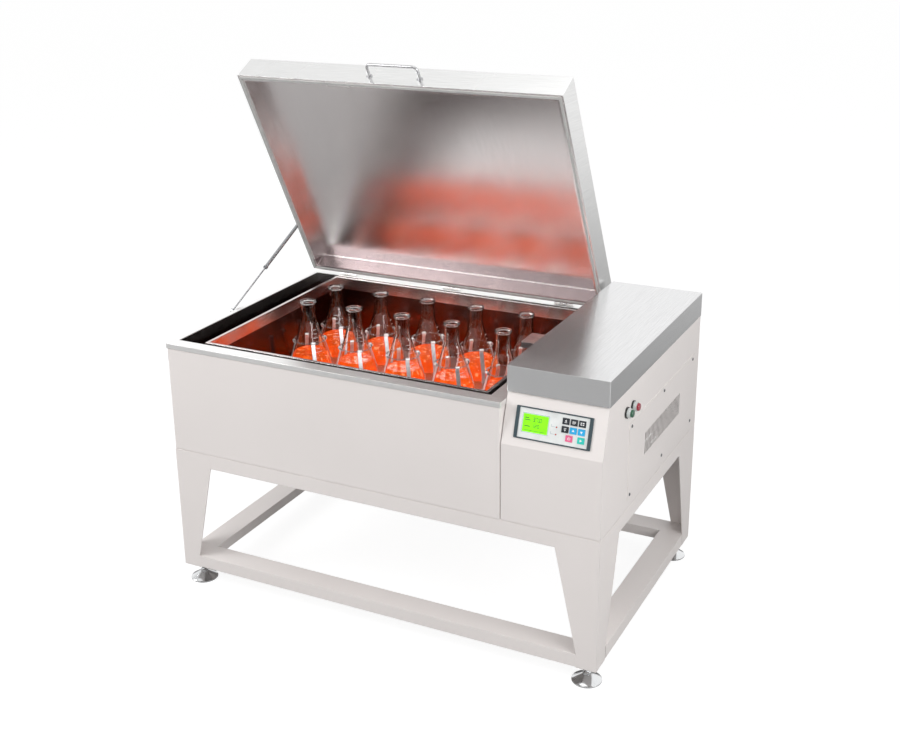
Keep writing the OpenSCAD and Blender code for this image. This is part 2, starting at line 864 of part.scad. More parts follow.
// The circuit board behind the panel, with its key switches, on four posts
module control_board() {
  z = board_z;
  low_x = bezel_x0 + 4;
  high_x = bezel_x0 + bezel_w - 4;
  color("darkgreen") in_frame() on_slope() {
    difference() {
      block([low_x + 2, bezel_up + 2, z - board_t], [high_x - 2, bezel_up + bezel_h - 2, z]);
      translate([low_x + 8, bezel_up + 12, z - 3]) cylinder(d = 3.2, h = 6);
    }
    for (x = [low_x, high_x], y = [bezel_up, bezel_up + bezel_h])
      translate([x, y, z - board_t]) cylinder(d = 6, h = board_t - z - casing_sheet);
    for (p = key_places)
      translate([key_x(p), key_y(p), z - eps]) cylinder(d = 6, h = -z - 4 - key_travel - 0.2);
    translate([display_x, display_y, z - eps]) cube([display_w, display_h, -z - display_t + eps]);
    translate([display_x + 5, display_y + 5, z - 16]) cube([40, 30, 15]);
  }
}

// The appliance inlet at the back of the control housing
module power_inlet() {
  color(dark) in_frame() translate([inlet_x, cabinet_d, inlet_z]) {
    difference() {
      union() {
        block([-30, 0, -20], [30, 3, 20]);
        block([-23.5, -24, -15.5], [23.5, 1, 15.5]);
      }
      // A recess for the plug, with the usual cut corners
      along_y(-18, 4) polygon([[-12, -8.5], [12, -8.5], [12, 4], [8, 8.5], [-8, 8.5], [-12, 4]]);
    }
    for (p = [[-7, -2], [0, 2], [7, -2]])
      block([p[0] - 1, -19, p[1] - 2], [p[0] + 1, -2, p[1] + 2]);
  }
}

// Turns a piece that is drawn on the closed lid to the drawn opening angle
module on_lid() {
  translate([0, hinge_y, hinge_z]) rotate([-lid_open, 0, 0]) translate([0, -hinge_y, -hinge_z])
    children();
}

// The lid's outer shell, open underneath
module lid_shell() {
  t = lid_sheet;
  color(steel) in_frame() on_lid() translate([lid_x0, lid_y0, lid_z0]) difference() {
    linear_extrude(lid_h) round_rect(lid_w, lid_len, 4);
    translate([t, t, -1])
      linear_extrude(lid_h - t + 1) round_rect(lid_w - 2 * t, lid_len - 2 * t, 3);
  }
}

// The lid's lining: a flat flange and the pan inside it
module lid_liner() {
  t = lid_sheet;
  f = lid_flange;
  color(steel) in_frame() on_lid() translate([lid_x0, lid_y0, lid_z0]) difference() {
    union() {
      translate([t, t, 0]) linear_extrude(t) round_rect(lid_w - 2 * t, lid_len - 2 * t, 3);
      translate([f, f, 0]) linear_extrude(pan_depth + t) round_rect(lid_w - 2 * f, lid_len - 2 * f, 6);
    }
    translate([f + t, f + t, -1])
      linear_extrude(pan_depth + 1) round_rect(lid_w - 2 * (f + t), lid_len - 2 * (f + t), 5);
  }
}

// The seal under the lid's flange
module lid_gasket() {
  h = lid_gap - gap;
  m = 6;
  color(dark) in_frame() on_lid()
    ring_wall(lid_x0 + m, lid_y0 + m, lid_x0 + lid_w - m, lid_y0 + lid_len - m,
      lid_z0 - h, lid_z0, 6, 4);
}

// A rod bent into a U that stands out along -Y, with its feet at Y = 0
module rod_handle(w, reach, d, bend) {
  half = w / 2;
  for (s = [-1, 1]) {
    translate([s * half, 0, 0]) rotate([90, 0, 0]) cylinder(d = d, h = reach - bend);
    translate([s * half, 0, 0]) rotate([90, 0, 0]) cylinder(d = d + 9, h = 2);
    translate([s * (half - bend), -(reach - bend), 0])
      rotate([0, 0, s > 0 ? -90 : 180])
        rotate_extrude(angle = 90) translate([bend, 0]) circle(d = d);
  }
  translate([-(half - bend), -reach, 0]) rotate([0, 90, 0]) cylinder(d = d, h = w - 2 * bend);
}

// The bent rod handle on the lid's front wall
module lid_handle() {
  color("silver") in_frame() on_lid()
    translate([lid_x0 + lid_w / 2, lid_y0, handle_z])
      rod_handle(handle_w, handle_reach, handle_d, handle_bend);
}

// The middle of each hinge along X
function hinge_x(i) = lid_x0 + hinge_inset + i * (lid_w - 2 * hinge_inset) / (hinge_count - 1);

// Hinge leaves on the rim's back strip, with their outer knuckles and the pins
module hinge_fixed_leaves() {
  half = hinge_w / 2;
  low = rim_top_z - hinge_z;
  color(steel) in_frame()
    for (i = [0:hinge_count - 1])
      translate([hinge_x(i), hinge_y, hinge_z]) {
        for (x = [-half, middle_knuckle / 2])
          translate([x, 0, 0]) rotate([0, 90, 0])
            cylinder(d = knuckle_d, h = half - middle_knuckle / 2);
        translate([-half, 0, 0]) rotate([0, 90, 0]) cylinder(d = hinge_pin_d, h = hinge_w);
        difference() {
          block([-half, 0, low], [half, hinge_leaf_w, low + hinge_leaf_t]);
          block([-middle_knuckle / 2 - gap, -1, low - 1],
            [middle_knuckle / 2 + gap, knuckle_d / 2 + 1, low + hinge_leaf_t + 1]);
        }
      }
}

// Hinge leaves on the lid's back wall, with the middle knuckles
module hinge_moving_leaves() {
  half = middle_knuckle / 2 - gap;
  y0 = -hinge_back;
  y1 = y0 + hinge_leaf_t;
  color(steel) in_frame() on_lid()
    for (i = [0:hinge_count - 1])
      translate([hinge_x(i), hinge_y, hinge_z]) difference() {
        union() {
          translate([-half, 0, 0]) rotate([0, 90, 0]) cylinder(d = knuckle_d, h = 2 * half);
          block([-half, y0, -1], [half, y1, 8]);
          block([-hinge_w / 2, y0, 7], [hinge_w / 2, y1, hinge_leaf_up]);
        }
        translate([-half - 1, 0, 0]) rotate([0, 90, 0])
          cylinder(d = hinge_pin_d + 2 * fit, h = 2 * half + 2);
      }
}

// Places things on the strut: X across it, Y along it from the lower stud
module on_strut() {
  translate([strut_x, strut_low_y, strut_low_z]) rotate([strut_angle, 0, 0]) children();
}

// The lower stud's plate on the rim, and the stud
module strut_bracket() {
  color("silver") in_frame() translate([0, strut_low_y, strut_low_z]) {
    block([-rim_proud - 2, -14, -7], [-rim_proud, 14, 5]);
    translate([strut_x - strut_eye_w / 2 - 2, 0, 0]) rotate([0, 90, 0])
      cylinder(d = strut_pin_d, h = -strut_x - rim_proud + strut_eye_w / 2 + 2);
  }
}

// The upper stud's plate on the lid's left wall; its neck stops short of the socket
module lid_stud() {
  color("silver") in_frame() on_lid()
    translate([lid_x0, hinge_y - strut_up_along, hinge_z + strut_up_high]) {
      block([-2, -16, -16], [0, 16, 16]);
      translate([strut_x + strut_tube_d / 2 + gap, 0, 0]) rotate([0, 90, 0])
        cylinder(d = 11, h = -strut_x - strut_tube_d / 2 - gap);
    }
}

// The strut's rod: lower eye, polished rod and piston
module strut_rod() {
  reach = strut_len - strut_tube_l - strut_eye_d / 2 + 38;
  color("silver") in_frame() on_strut() difference() {
    union() {
      translate([-strut_eye_w / 2, 0, 0]) rotate([0, 90, 0])
        cylinder(d = strut_eye_d, h = strut_eye_w);
      rotate([-90, 0, 0]) cylinder(d = strut_rod_d, h = reach + piston_l);
      translate([0, reach, 0]) rotate([-90, 0, 0])
        cylinder(d = strut_tube_d - 2 * (strut_wall + fit), h = piston_l);
    }
    translate([-strut_eye_w / 2 - 1, 0, 0]) rotate([0, 90, 0])
      cylinder(d = strut_pin_d + 2 * fit, h = strut_eye_w + 2);
  }
}

// The strut's pressure tube: nose, barrel and the closed socket over the lid's stud
module strut_tube() {
  end = strut_len - strut_eye_d / 2 + 1;
  start = end - strut_tube_l;
  color(dark) in_frame() on_strut() difference() {
    union() {
      translate([0, start, 0]) rotate([-90, 0, 0]) cylinder(d = strut_tube_d, h = strut_tube_l);
      translate([0, start, 0]) rotate([-90, 0, 0])
        cylinder(d = strut_tube_d + 2 * strut_wall, h = strut_nose * 0.6);
      translate([-strut_tube_d / 2 + 1, strut_len, 0]) rotate([0, 90, 0])
        cylinder(d = strut_eye_d, h = strut_tube_d - 1);
    }
    translate([0, start - 1, 0]) rotate([-90, 0, 0])
      cylinder(d = strut_rod_d + 2 * fit, h = 2 * strut_nose);
    translate([0, start + strut_nose, 0]) rotate([-90, 0, 0])
      cylinder(d = strut_tube_d - 2 * strut_wall, h = strut_tube_l - 1.6 * strut_nose);
  }
}

// The drive's base plate with a bearing housing for each crank shaft
module drive_base() {
  p0 = crank_places[0];
  plate_z = drive_z + drive_plate_t;
  leg_x = big_pulley_d / 2 + bridge_leg;
  color([0.35, 0.38, 0.42]) in_frame() difference() {
    union() {
      block([p0[0] - idler_dx - base_margin, p0[1] - idler_dy - base_margin, drive_z],
        [p0[0] + idler_dx + base_margin, p0[1] + idler_dy + base_margin, plate_z]);
      for (p = crank_places) {
        translate([p[0], p[1], plate_z - eps])
          cylinder(r = bearing_r + bearing_step, h = bearing_step / 2);
        if (p != p0)
          translate([p[0], p[1], plate_z - eps]) cylinder(r = bearing_r, h = bearing_top_z - plate_z);
      }
      translate([p0[0], p0[1], bridge_z]) cylinder(r = bearing_r, h = bearing_top_z - bridge_z);
      // A bridge holds the middle bearing above the large pulley
      for (a = [90, 180, 270])
        translate([p0[0], p0[1], 0]) rotate([0, 0, a]) {
          block([leg_x, -bridge_w / 2, plate_z - eps],
            [leg_x + bridge_leg, bridge_w / 2, bridge_z + bridge_t]);
          block([0, -bridge_w / 2, bridge_z],
            [leg_x + bridge_leg, bridge_w / 2, bridge_z + bridge_t]);
        }
    }
    for (p = crank_places)
      translate([p[0], p[1], drive_z - 1])
        cylinder(d = shaft_d + 2 * fit, h = bearing_top_z - drive_z + 2);
  }
}

// A round disc with its eccentric pin and, if asked, a half disc of weight opposite the pin
module crank_head(weighted) {
  translate([0, 0, crank_z]) {
    cylinder(r = orbit_r + crank_pin_d / 2 + crank_rim, h = crank_t);
    if (weighted)
      difference() {
        translate([0, 0, 1]) cylinder(r = weight_r, h = crank_t - 2);
        block([-weight_r - 1, -weight_r - 1, 0], [4, weight_r + 1, crank_t]);
      }
  }
  translate([-orbit_r, 0, crank_z]) cylinder(d = crank_pin_d, h = platform_z - platform_t - crank_z);
}

// The driven crank: shaft, large belt pulley, counterweight and eccentric pin
module main_crank() {
  color([0.55, 0.57, 0.6]) in_frame() translate([platform_cx, platform_cy, 0]) {
    translate([0, 0, shaft_bottom_z]) cylinder(d = shaft_d, h = crank_z - shaft_bottom_z + eps);
    translate([0, 0, pulley_z]) pulley(big_pulley_d);
    crank_head(true);
  }
}

// A flat belt pulley with two flanges
module pulley(d) {
  rim = d / 2 + pulley_flange;
  rotate_extrude()
    polygon([
      [0, -2], [rim, -2], [rim, -0.5], [d / 2, 0], [d / 2, belt_w + 1],
      [rim, belt_w + 1.5], [rim, belt_w + 3], [0, belt_w + 3]
    ]);
}

// A following crank, which keeps the platform from turning
module idler_crank(i) {
  color([0.55, 0.57, 0.6]) in_frame() translate([crank_places[i][0], crank_places[i][1], 0]) {
    translate([0, 0, shaft_bottom_z]) cylinder(d = shaft_d, h = crank_z - shaft_bottom_z + eps);
    crank_head(false);
  }
}
module idler_crank_left() { idler_crank(1); }
module idler_crank_right() { idler_crank(2); }

// The motor and its plate on the floor pan of the control housing
module drive_motor() {
  plate = motor_leg + motor_leg_d / 2;
  color([0.3, 0.33, 0.36]) in_frame() translate([motor_x, motor_y, 0]) difference() {
    union() {
      translate([0, 0, motor_base_z]) cylinder(d = motor_d, h = motor_h);
      translate([0, 0, motor_base_z + motor_h - eps])
        cylinder(d = motor_d - 4 * motor_fin, h = motor_cap_h);
      block([-plate, -plate, motor_base_z], [plate, plate, motor_base_z + motor_plate_t]);
      for (x = [-motor_leg, motor_leg], y = [-motor_leg, motor_leg])
        translate([x, y, drive_z]) cylinder(d = motor_leg_d, h = motor_base_z - drive_z + eps);
      for (a = [0:20:340])
        rotate([0, 0, a])
          block([motor_d / 2 - 2, -1, motor_base_z + 2 * motor_plate_t],
            [motor_d / 2 + motor_fin, 1, motor_base_z + motor_h - 2 * motor_plate_t]);
    }
    translate([0, 0, motor_base_z - 1]) cylinder(d = motor_shaft_d + 2 * fit, h = motor_h * 0.4);
  }
}

// The motor's shaft and small pulley
module motor_pulley() {
  color("silver") in_frame() translate([motor_x, motor_y, 0]) {
    translate([0, 0, pulley_z]) pulley(small_pulley_d);
    translate([0, 0, pulley_z])
      cylinder(d = motor_shaft_d, h = motor_base_z - pulley_z + motor_h * 0.27);
  }
}

// The open outline of a belt loop that lies one margin outside both pulleys
module belt_outline(m) {
  hull() {
    translate([platform_cx, platform_cy]) circle(d = big_pulley_d + 2 * m, $fn = 96);
    translate([motor_x, motor_y]) circle(d = small_pulley_d + 2 * m, $fn = 96);
  }
}

// The flat belt from the motor to the driven crank
module drive_belt() {
  color(dark) in_frame() translate([0, 0, pulley_z + 0.5])
    linear_extrude(belt_w) difference() {
      belt_outline(gap + belt_t);
      belt_outline(gap);
    }
}

// The perforated platform with folded edges and bearing bosses for the crank pins
module platform() {
  x0 = platform_cx - orbit_r - platform_w / 2;
  y0 = platform_cy - platform_d / 2;
  boss_z = crank_z + crank_t + gap;
  color(steel) in_frame() difference() {
    union() {
      translate([x0, y0, platform_z - platform_t])
        linear_extrude(platform_t) round_rect(platform_w, platform_d, 4);
      ring_wall(x0, y0, x0 + platform_w, y0 + platform_d,
        platform_z - platform_edge, platform_z - platform_t + eps, platform_t, 4);
      for (p = crank_places)
        translate([p[0] - orbit_r, p[1], boss_z])
          cylinder(r = crank_pin_d / 2 + boss_wall, h = platform_z - boss_z - eps);
    }
    for (p = crank_places)
      translate([p[0] - orbit_r, p[1], boss_z - 1])
        cylinder(d = crank_pin_d + 2 * fit, h = platform_z - platform_t - boss_z + 1 + gap);
    // Fixing holes for clamps in the free front part
    for (i = [0:flask_columns - 1], y = [y0 + 90, y0 + 210], dx = [-30, 30])
      translate([flask_x(i) + dx, y, platform_z - platform_t - 1])
        cylinder(d = 5.5, h = platform_t + 2, $fn = 16);
  }
}

// Where the flasks stand
function flask_x(i) = frame_x0 + flask_from_left + i * flask_pitch;
function flask_y(j) = frame_y1 - flask_from_rear - j * flask_pitch;
module at_flasks() {
  for (i = [0:flask_columns - 1], j = [0:flask_rows - 1])
    translate([flask_x(i), flask_y(j), 0]) children();
}

// Radius of a flask's outside at a height above its base
function flask_r(z) = z < cone_low ? flask_d / 2
  : flask_d / 2 - (flask_d - flask_neck_d) / 2 * (z - cone_low) / (cone_high - cone_low);

// One clamp: a foot plate and four prongs whose tips are curled round the spring
module flask_clamp() {
  out = flask_d / 2 + 1;
  tip = spring_r() - curl_d / 2 - clamp_t;
  for (a = [45:90:315])
    rotate([0, 0, a]) {
      translate([0, prong_w / 2, 0]) rotate([90, 0, 0]) linear_extrude(prong_w)
        polygon([
          [0, 0], [out + clamp_t, 0], [out + clamp_t, cone_low],
          [tip + clamp_t, clamp_h], [tip, clamp_h], [out, cone_low], [out, clamp_t], [0, clamp_t]
        ]);
      translate([spring_r(), prong_w / 2, clamp_h]) rotate([90, 0, 0]) difference() {
        cylinder(d = curl_d + 2 * clamp_t, h = prong_w);
        translate([0, 0, -1]) cylinder(d = curl_d, h = prong_w + 2);
      }
    }
  cylinder(d = 70, h = clamp_t);
}
function spring_r() = flask_r(clamp_h) + 2 + clamp_t + curl_d / 2;
module flask_clamps() {
  color("gainsboro") in_frame() translate([0, 0, platform_z]) at_flasks() flask_clamp();
}

// The ring-shaped springs that draw the prongs of each clamp to the flask
module clamp_springs() {
  color("silver") in_frame() translate([0, 0, platform_z + clamp_h]) at_flasks()
    rotate_extrude() translate([spring_r(), 0]) circle(d = spring_d, $fn = 24);
}

// One conical flask, open at its beaded mouth
module flask() {
  r = flask_d / 2;
  n = flask_neck_d / 2;
  w = flask_wall;
  rotate_extrude()
    polygon([
      [0, 0], [r - 10, 0], [r - 4, 2], [r - 0.5, 8], [r, cone_low * 0.6], [r - 1.5, cone_low],
      [n + 2, cone_high - 6], [n, cone_high + 4], [n, flask_h - 7], [n + 3.6, flask_h - 4],
      [n + 4, flask_h - 2], [n + 3, flask_h], [n - w + 0.8, flask_h], [n - w, flask_h - 2],
      [n - w, cone_high + 4], [n + 2 - w, cone_high - 6], [r - 1.5 - w * 1.05, cone_low],
      [r - w, cone_low * 0.6], [r - w - 1, 8 + w / 3], [r - 5 - w, 2 + w], [r - 10 - w, w], [0, w]
    ]);
}
module flasks() {
  color("aliceblue", 0.4) in_frame() translate([0, 0, flask_base_z]) at_flasks() flask();
}

// The liquid in one flask, just clear of the glass
module liquid() {
  r = flask_d / 2;
  g = flask_wall + gap;
  rotate_extrude()
    polygon([
      [0, g], [r - 11 - g, g], [r - 6 - g, 2.5 + g], [r - g - 1.6, 9 + g / 3],
      [r - g - 0.6, cone_low * 0.6], [r - 2 - g * 1.05, cone_low],
      [flask_r(fill_h) - g - 1.4, fill_h], [0, fill_h]
    ]);
}
module flask_contents() {
  color("orangered") in_frame() translate([0, 0, flask_base_z]) at_flasks() liquid();
}

// The fan's motor and the bracket that holds it on the liner's wall
module fan_motor() {
  color([0.3, 0.33, 0.36]) in_frame() translate([fan_x, fan_y, fan_z]) difference() {
    union() {
      rotate([-90, 0, 0]) cylinder(d = fan_motor_d, h = fan_motor_l);
      block([mouth_x0 - fan_x, 10, -6], [0, fan_motor_l - 10, 6]);
    }
    translate([0, -1, 0]) rotate([-90, 0, 0])
      cylinder(d = fan_shaft_d + 2 * fit, h = fan_motor_l / 2 + 2);
  }
}

// The fan's wheel: hub, shaft and six pitched blades
module fan_wheel() {
  hub_r = fan_hub_d / 2;
  color(dark) in_frame() translate([fan_x, fan_y, fan_z]) {
    translate([0, -fan_hub_d - 4, 0]) rotate([-90, 0, 0]) cylinder(d = fan_hub_d, h = fan_hub_d);
    translate([0, -10, 0]) rotate([-90, 0, 0]) cylinder(d = fan_shaft_d, h = 10 + fan_motor_l / 2);
    for (a = [0:60:300])
      rotate([0, a, 0]) translate([hub_r - 2, -15, 0]) rotate([35, 0, 0])
        translate([0, -8, -0.8]) cube([fan_r - hub_r + 2, 16, 1.6]);
  }
}

// The heater: a rod bent into long hairpins, with the clips that hold it to the liner
module heater_coil() {
  passes = 4;
  wall = mouth_x0 - fan_x;
  color("dimgray") in_frame() translate([fan_x, 0, heater_z]) {
    for (i = [0:passes - 1])
      translate([0, heater_y0, i * heater_step]) rotate([-90, 0, 0])
        cylinder(d = heater_d, h = heater_y1 - heater_y0);
    for (i = [0:passes - 2])
      translate([0, i % 2 == 0 ? heater_y1 : heater_y0, (i + 0.5) * heater_step])
        rotate([0, 90, 0]) rotate([0, 0, i % 2 == 0 ? 0 : 180])
          rotate_extrude(angle = 180) translate([heater_step / 2, 0]) circle(d = heater_d);
    for (y = [heater_y0 + 60, heater_y1 - 60])
      difference() {
        block([wall, y - heater_clip / 2, -heater_clip],
          [heater_d / 2 + 2, y + heater_clip / 2, (passes - 1) * heater_step + heater_clip]);
        for (i = [0:passes - 2])
          block([wall + 4, y - heater_clip, i * heater_step + heater_clip + 2],
            [heater_d, y + heater_clip, (i + 1) * heater_step - heater_clip - 2]);
      }
  }
}

stand_legs();
top_rails();
lower_rails();
foot_locknuts();
foot_front_left();
foot_front_right();
foot_rear_left();
foot_rear_right();
base_pan();
chamber_casing();
control_housing();
housing_cover();
rim_frame();
chamber_liner();
air_frame();
sensor_bracket();
access_panel();
panel_screws();
button_housings();
start_button();
stop_button();
panel_bezel();
keypad_membrane();
display();
indicator_lights();
key_1();
key_2();
key_3();
key_4();
key_5();
key_6();
key_7();
key_8();
control_board();
power_inlet();
lid_shell();
lid_liner();
lid_gasket();
lid_handle();
hinge_fixed_leaves();
hinge_moving_leaves();
strut_bracket();
lid_stud();
strut_rod();
strut_tube();
drive_base();
drive_motor();
motor_pulley();
drive_belt();
main_crank();
idler_crank_left();
idler_crank_right();
platform();
flask_clamps();
clamp_springs();
flasks();
flask_contents();
fan_motor();
fan_wheel();
heater_coil();
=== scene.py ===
"""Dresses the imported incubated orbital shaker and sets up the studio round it.

The solids come from the frame. This script gives each of them a finish, makes the pieces whose
looks need more than a solid (glassware, liquid, springs, threads and the panel's print), and
places the camera and the lamps. All lengths in the classes are millimetres on the real object,
counted from the stand's front left corner on the floor; `place` turns them into frame metres.
"""

import logging
import math
from abc import ABC, abstractmethod
from dataclasses import dataclass, field
from enum import Enum
from typing import ClassVar

import bmesh
import bpy
import numpy as np
from mathutils import Matrix, Vector


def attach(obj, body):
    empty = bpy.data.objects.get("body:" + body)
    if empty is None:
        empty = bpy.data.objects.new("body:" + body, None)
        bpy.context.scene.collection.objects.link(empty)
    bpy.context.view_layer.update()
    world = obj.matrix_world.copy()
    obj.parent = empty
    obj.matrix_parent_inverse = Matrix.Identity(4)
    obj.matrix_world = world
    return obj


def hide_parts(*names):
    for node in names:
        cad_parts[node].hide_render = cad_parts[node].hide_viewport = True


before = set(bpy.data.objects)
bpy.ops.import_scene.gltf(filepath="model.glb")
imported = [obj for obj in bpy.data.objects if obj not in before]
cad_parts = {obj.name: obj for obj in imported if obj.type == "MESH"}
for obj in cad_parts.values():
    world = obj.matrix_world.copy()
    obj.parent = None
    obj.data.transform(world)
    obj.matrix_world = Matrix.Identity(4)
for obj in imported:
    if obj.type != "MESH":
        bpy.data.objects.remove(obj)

log = logging.getLogger("shaker")

MM = 0.001
FOOT_INSET = 38.0
IMAGE_SIZE = (900, 755)
SENSOR_WIDTH = 36.0
PATTERN_LOW, PATTERN_HIGH = 0.3, 0.7
Socket = bpy.types.NodeSocket
Colour = tuple[float, float, float]
Triple = tuple[float, float, float]
Surface = tuple[np.ndarray, np.ndarray]


def place(points: np.ndarray) -> np.ndarray:
    """Turns stand millimetres into frame metres: subtract the foot's inset, then scale.

    Args:
        points: An array of points, one row each.

    Returns:
        The same points in the frame.
    """
    return (np.asarray(points, float) - np.array([FOOT_INSET, FOOT_INSET, 0.0])) * MM


def grid_faces(rows: int, columns: int, wrap: bool = False, first: int = 0) -> np.ndarray:
    """Lists the quads of a grid whose vertex number is row times columns plus column.

    Args:
        rows: Number of vertex rows.
        columns: Number of vertex columns.
        wrap: True if the last column joins the first.
        first: The number of the grid's first vertex.

    Returns:
        An array of four vertex numbers per quad.
    """
    steps = columns if wrap else columns - 1
    i, j = np.meshgrid(np.arange(rows - 1), np.arange(steps), indexing="ij")
    k = (j + 1) % columns
    low, high = i * columns, (i + 1) * columns
    return np.stack([low + j, low + k, high + k, high + j], -1).reshape(-1, 4) + first


def copied(verts: np.ndarray, faces: np.ndarray, centres: np.ndarray) -> Surface:
    """Sets a copy of a surface at each centre.

    Args:
        verts: The surface's points round the origin.
        faces: Its quads.
        centres: One row (x, y, z) for each copy.

    Returns:
        Vertices and quads of all copies.
    """
    points = (np.asarray(centres, float)[:, None] + verts).reshape(-1, 3)
    shift = np.arange(len(centres))[:, None, None] * len(verts)
    return points, (faces + shift).reshape(-1, 4)


def rounded_profile(corners: list[Triple], steps: int = 7) -> np.ndarray:
    """Rounds a chain of straight lines: each corner becomes an arc that touches both its lines.

    The arc's points are the blend (1-t)^2 a + 2t(1-t) c + t^2 b, where c is the corner and a and b
    are the points on its lines at the corner's tangent length.

    Args:
        corners: (radius from the axis, height, tangent length) of each corner.
        steps: Points on each arc.

    Returns:
        The profile's points as rows of radius and height.
    """
    points = np.array([c[:2] for c in corners], float)
    cut = np.array([c[2] for c in corners], float)
    before = np.roll(points, 1, 0) - points
    after = np.roll(points, -1, 0) - points
    before /= np.linalg.norm(before, axis=1, keepdims=True) + 1e-12
    after /= np.linalg.norm(after, axis=1, keepdims=True) + 1e-12
    cut[0] = cut[-1] = 0.0
    a = points + before * cut[:, None]
    b = points + after * cut[:, None]
    t = np.linspace(0, 1, steps)[None, :, None]
    arcs = (1 - t) ** 2 * a[:, None] + 2 * t * (1 - t) * points[:, None] + t**2 * b[:, None]
    chain = arcs.reshape(-1, 2)
    keep = np.r_[True, np.linalg.norm(np.diff(chain, axis=0), axis=1) > 1e-6]
    return chain[keep]


def turned(profile: np.ndarray, centres: np.ndarray, segments: int) -> Surface:
    """Turns a profile about upright axes: (r, h) becomes (r cos a, r sin a, h) for all a.

    Args:
        profile: Rows of radius and height.
        centres: One row (x, y, z) for each copy.
        segments: Steps round the axis.

    Returns:
        Vertices and quads of all copies.
    """
    angle = np.linspace(0, 2 * np.pi, segments, endpoint=False)
    ring = np.stack([np.cos(angle), np.sin(angle), np.zeros(segments)], -1)
    body = profile[:, 0, None, None] * ring + profile[:, 1, None, None] * np.array([0, 0, 1.0])
    return copied(body.reshape(-1, 3), grid_faces(len(profile), segments, wrap=True), centres)


def wound_tube(path: np.ndarray, outward: np.ndarray, radius: float, sides: int) -> Surface:
    """Carries a circle along a path: each ring is path + radius (cos a outward + sin a side).

    Args:
        path: The tube's middle line, one row per ring.
        outward: A direction across the path at each ring.
        radius: The tube's radius.
        sides: Corners of each ring.

    Returns:
        Vertices and quads, with open ends.
    """
    along = np.gradient(path, axis=0)
    along /= np.linalg.norm(along, axis=1, keepdims=True)
    out = outward - (outward * along).sum(1, keepdims=True) * along
    out /= np.linalg.norm(out, axis=1, keepdims=True)
    side = np.cross(along, out)
    angle = np.linspace(0, 2 * np.pi, sides, endpoint=False)
    cos, sin = np.cos(angle)[None, :, None], np.sin(angle)[None, :, None]
    ring = cos * out[:, None] + sin * side[:, None]
    verts = (path[:, None] + radius * ring).reshape(-1, 3)
    return verts, grid_faces(len(path), sides, wrap=True)


def make_piece(
    name: str,
    verts: np.ndarray,
    faces: np.ndarray | list,
    material: bpy.types.Material,
    body: str,
    smooth: bool = True,
) -> bpy.types.Object:
    """Puts a surface into the scene as one piece of the object.

    Args:
        name: The piece's plain name.
        verts: Points in stand millimetres.
        faces: Vertex numbers of each face.
        material: Its finish.
        body: The moving group it rides on.
        smooth: True for a curved surface.

    Returns:
        The new object, at the origin, with its place in its mesh.
    """
    mesh = bpy.data.meshes.new(name)
    polygons = faces if isinstance(faces, list) else faces.tolist()
    mesh.from_pydata(place(verts).tolist(), [], polygons)
    work = bmesh.new()
    work.from_mesh(mesh)
    bmesh.ops.remove_doubles(work, verts=work.verts, dist=1e-7)
    bmesh.ops.dissolve_degenerate(work, edges=work.edges, dist=1e-8)
    bmesh.ops.recalc_face_normals(work, faces=work.faces)
    work.to_mesh(mesh)
    work.free()
    mesh.polygons.foreach_set("use_smooth", [smooth] * len(mesh.polygons))
    mesh.materials.append(material)
    piece = bpy.data.objects.new(name, mesh)
    bpy.context.scene.collection.objects.link(piece)
    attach(piece, body)
    return piece


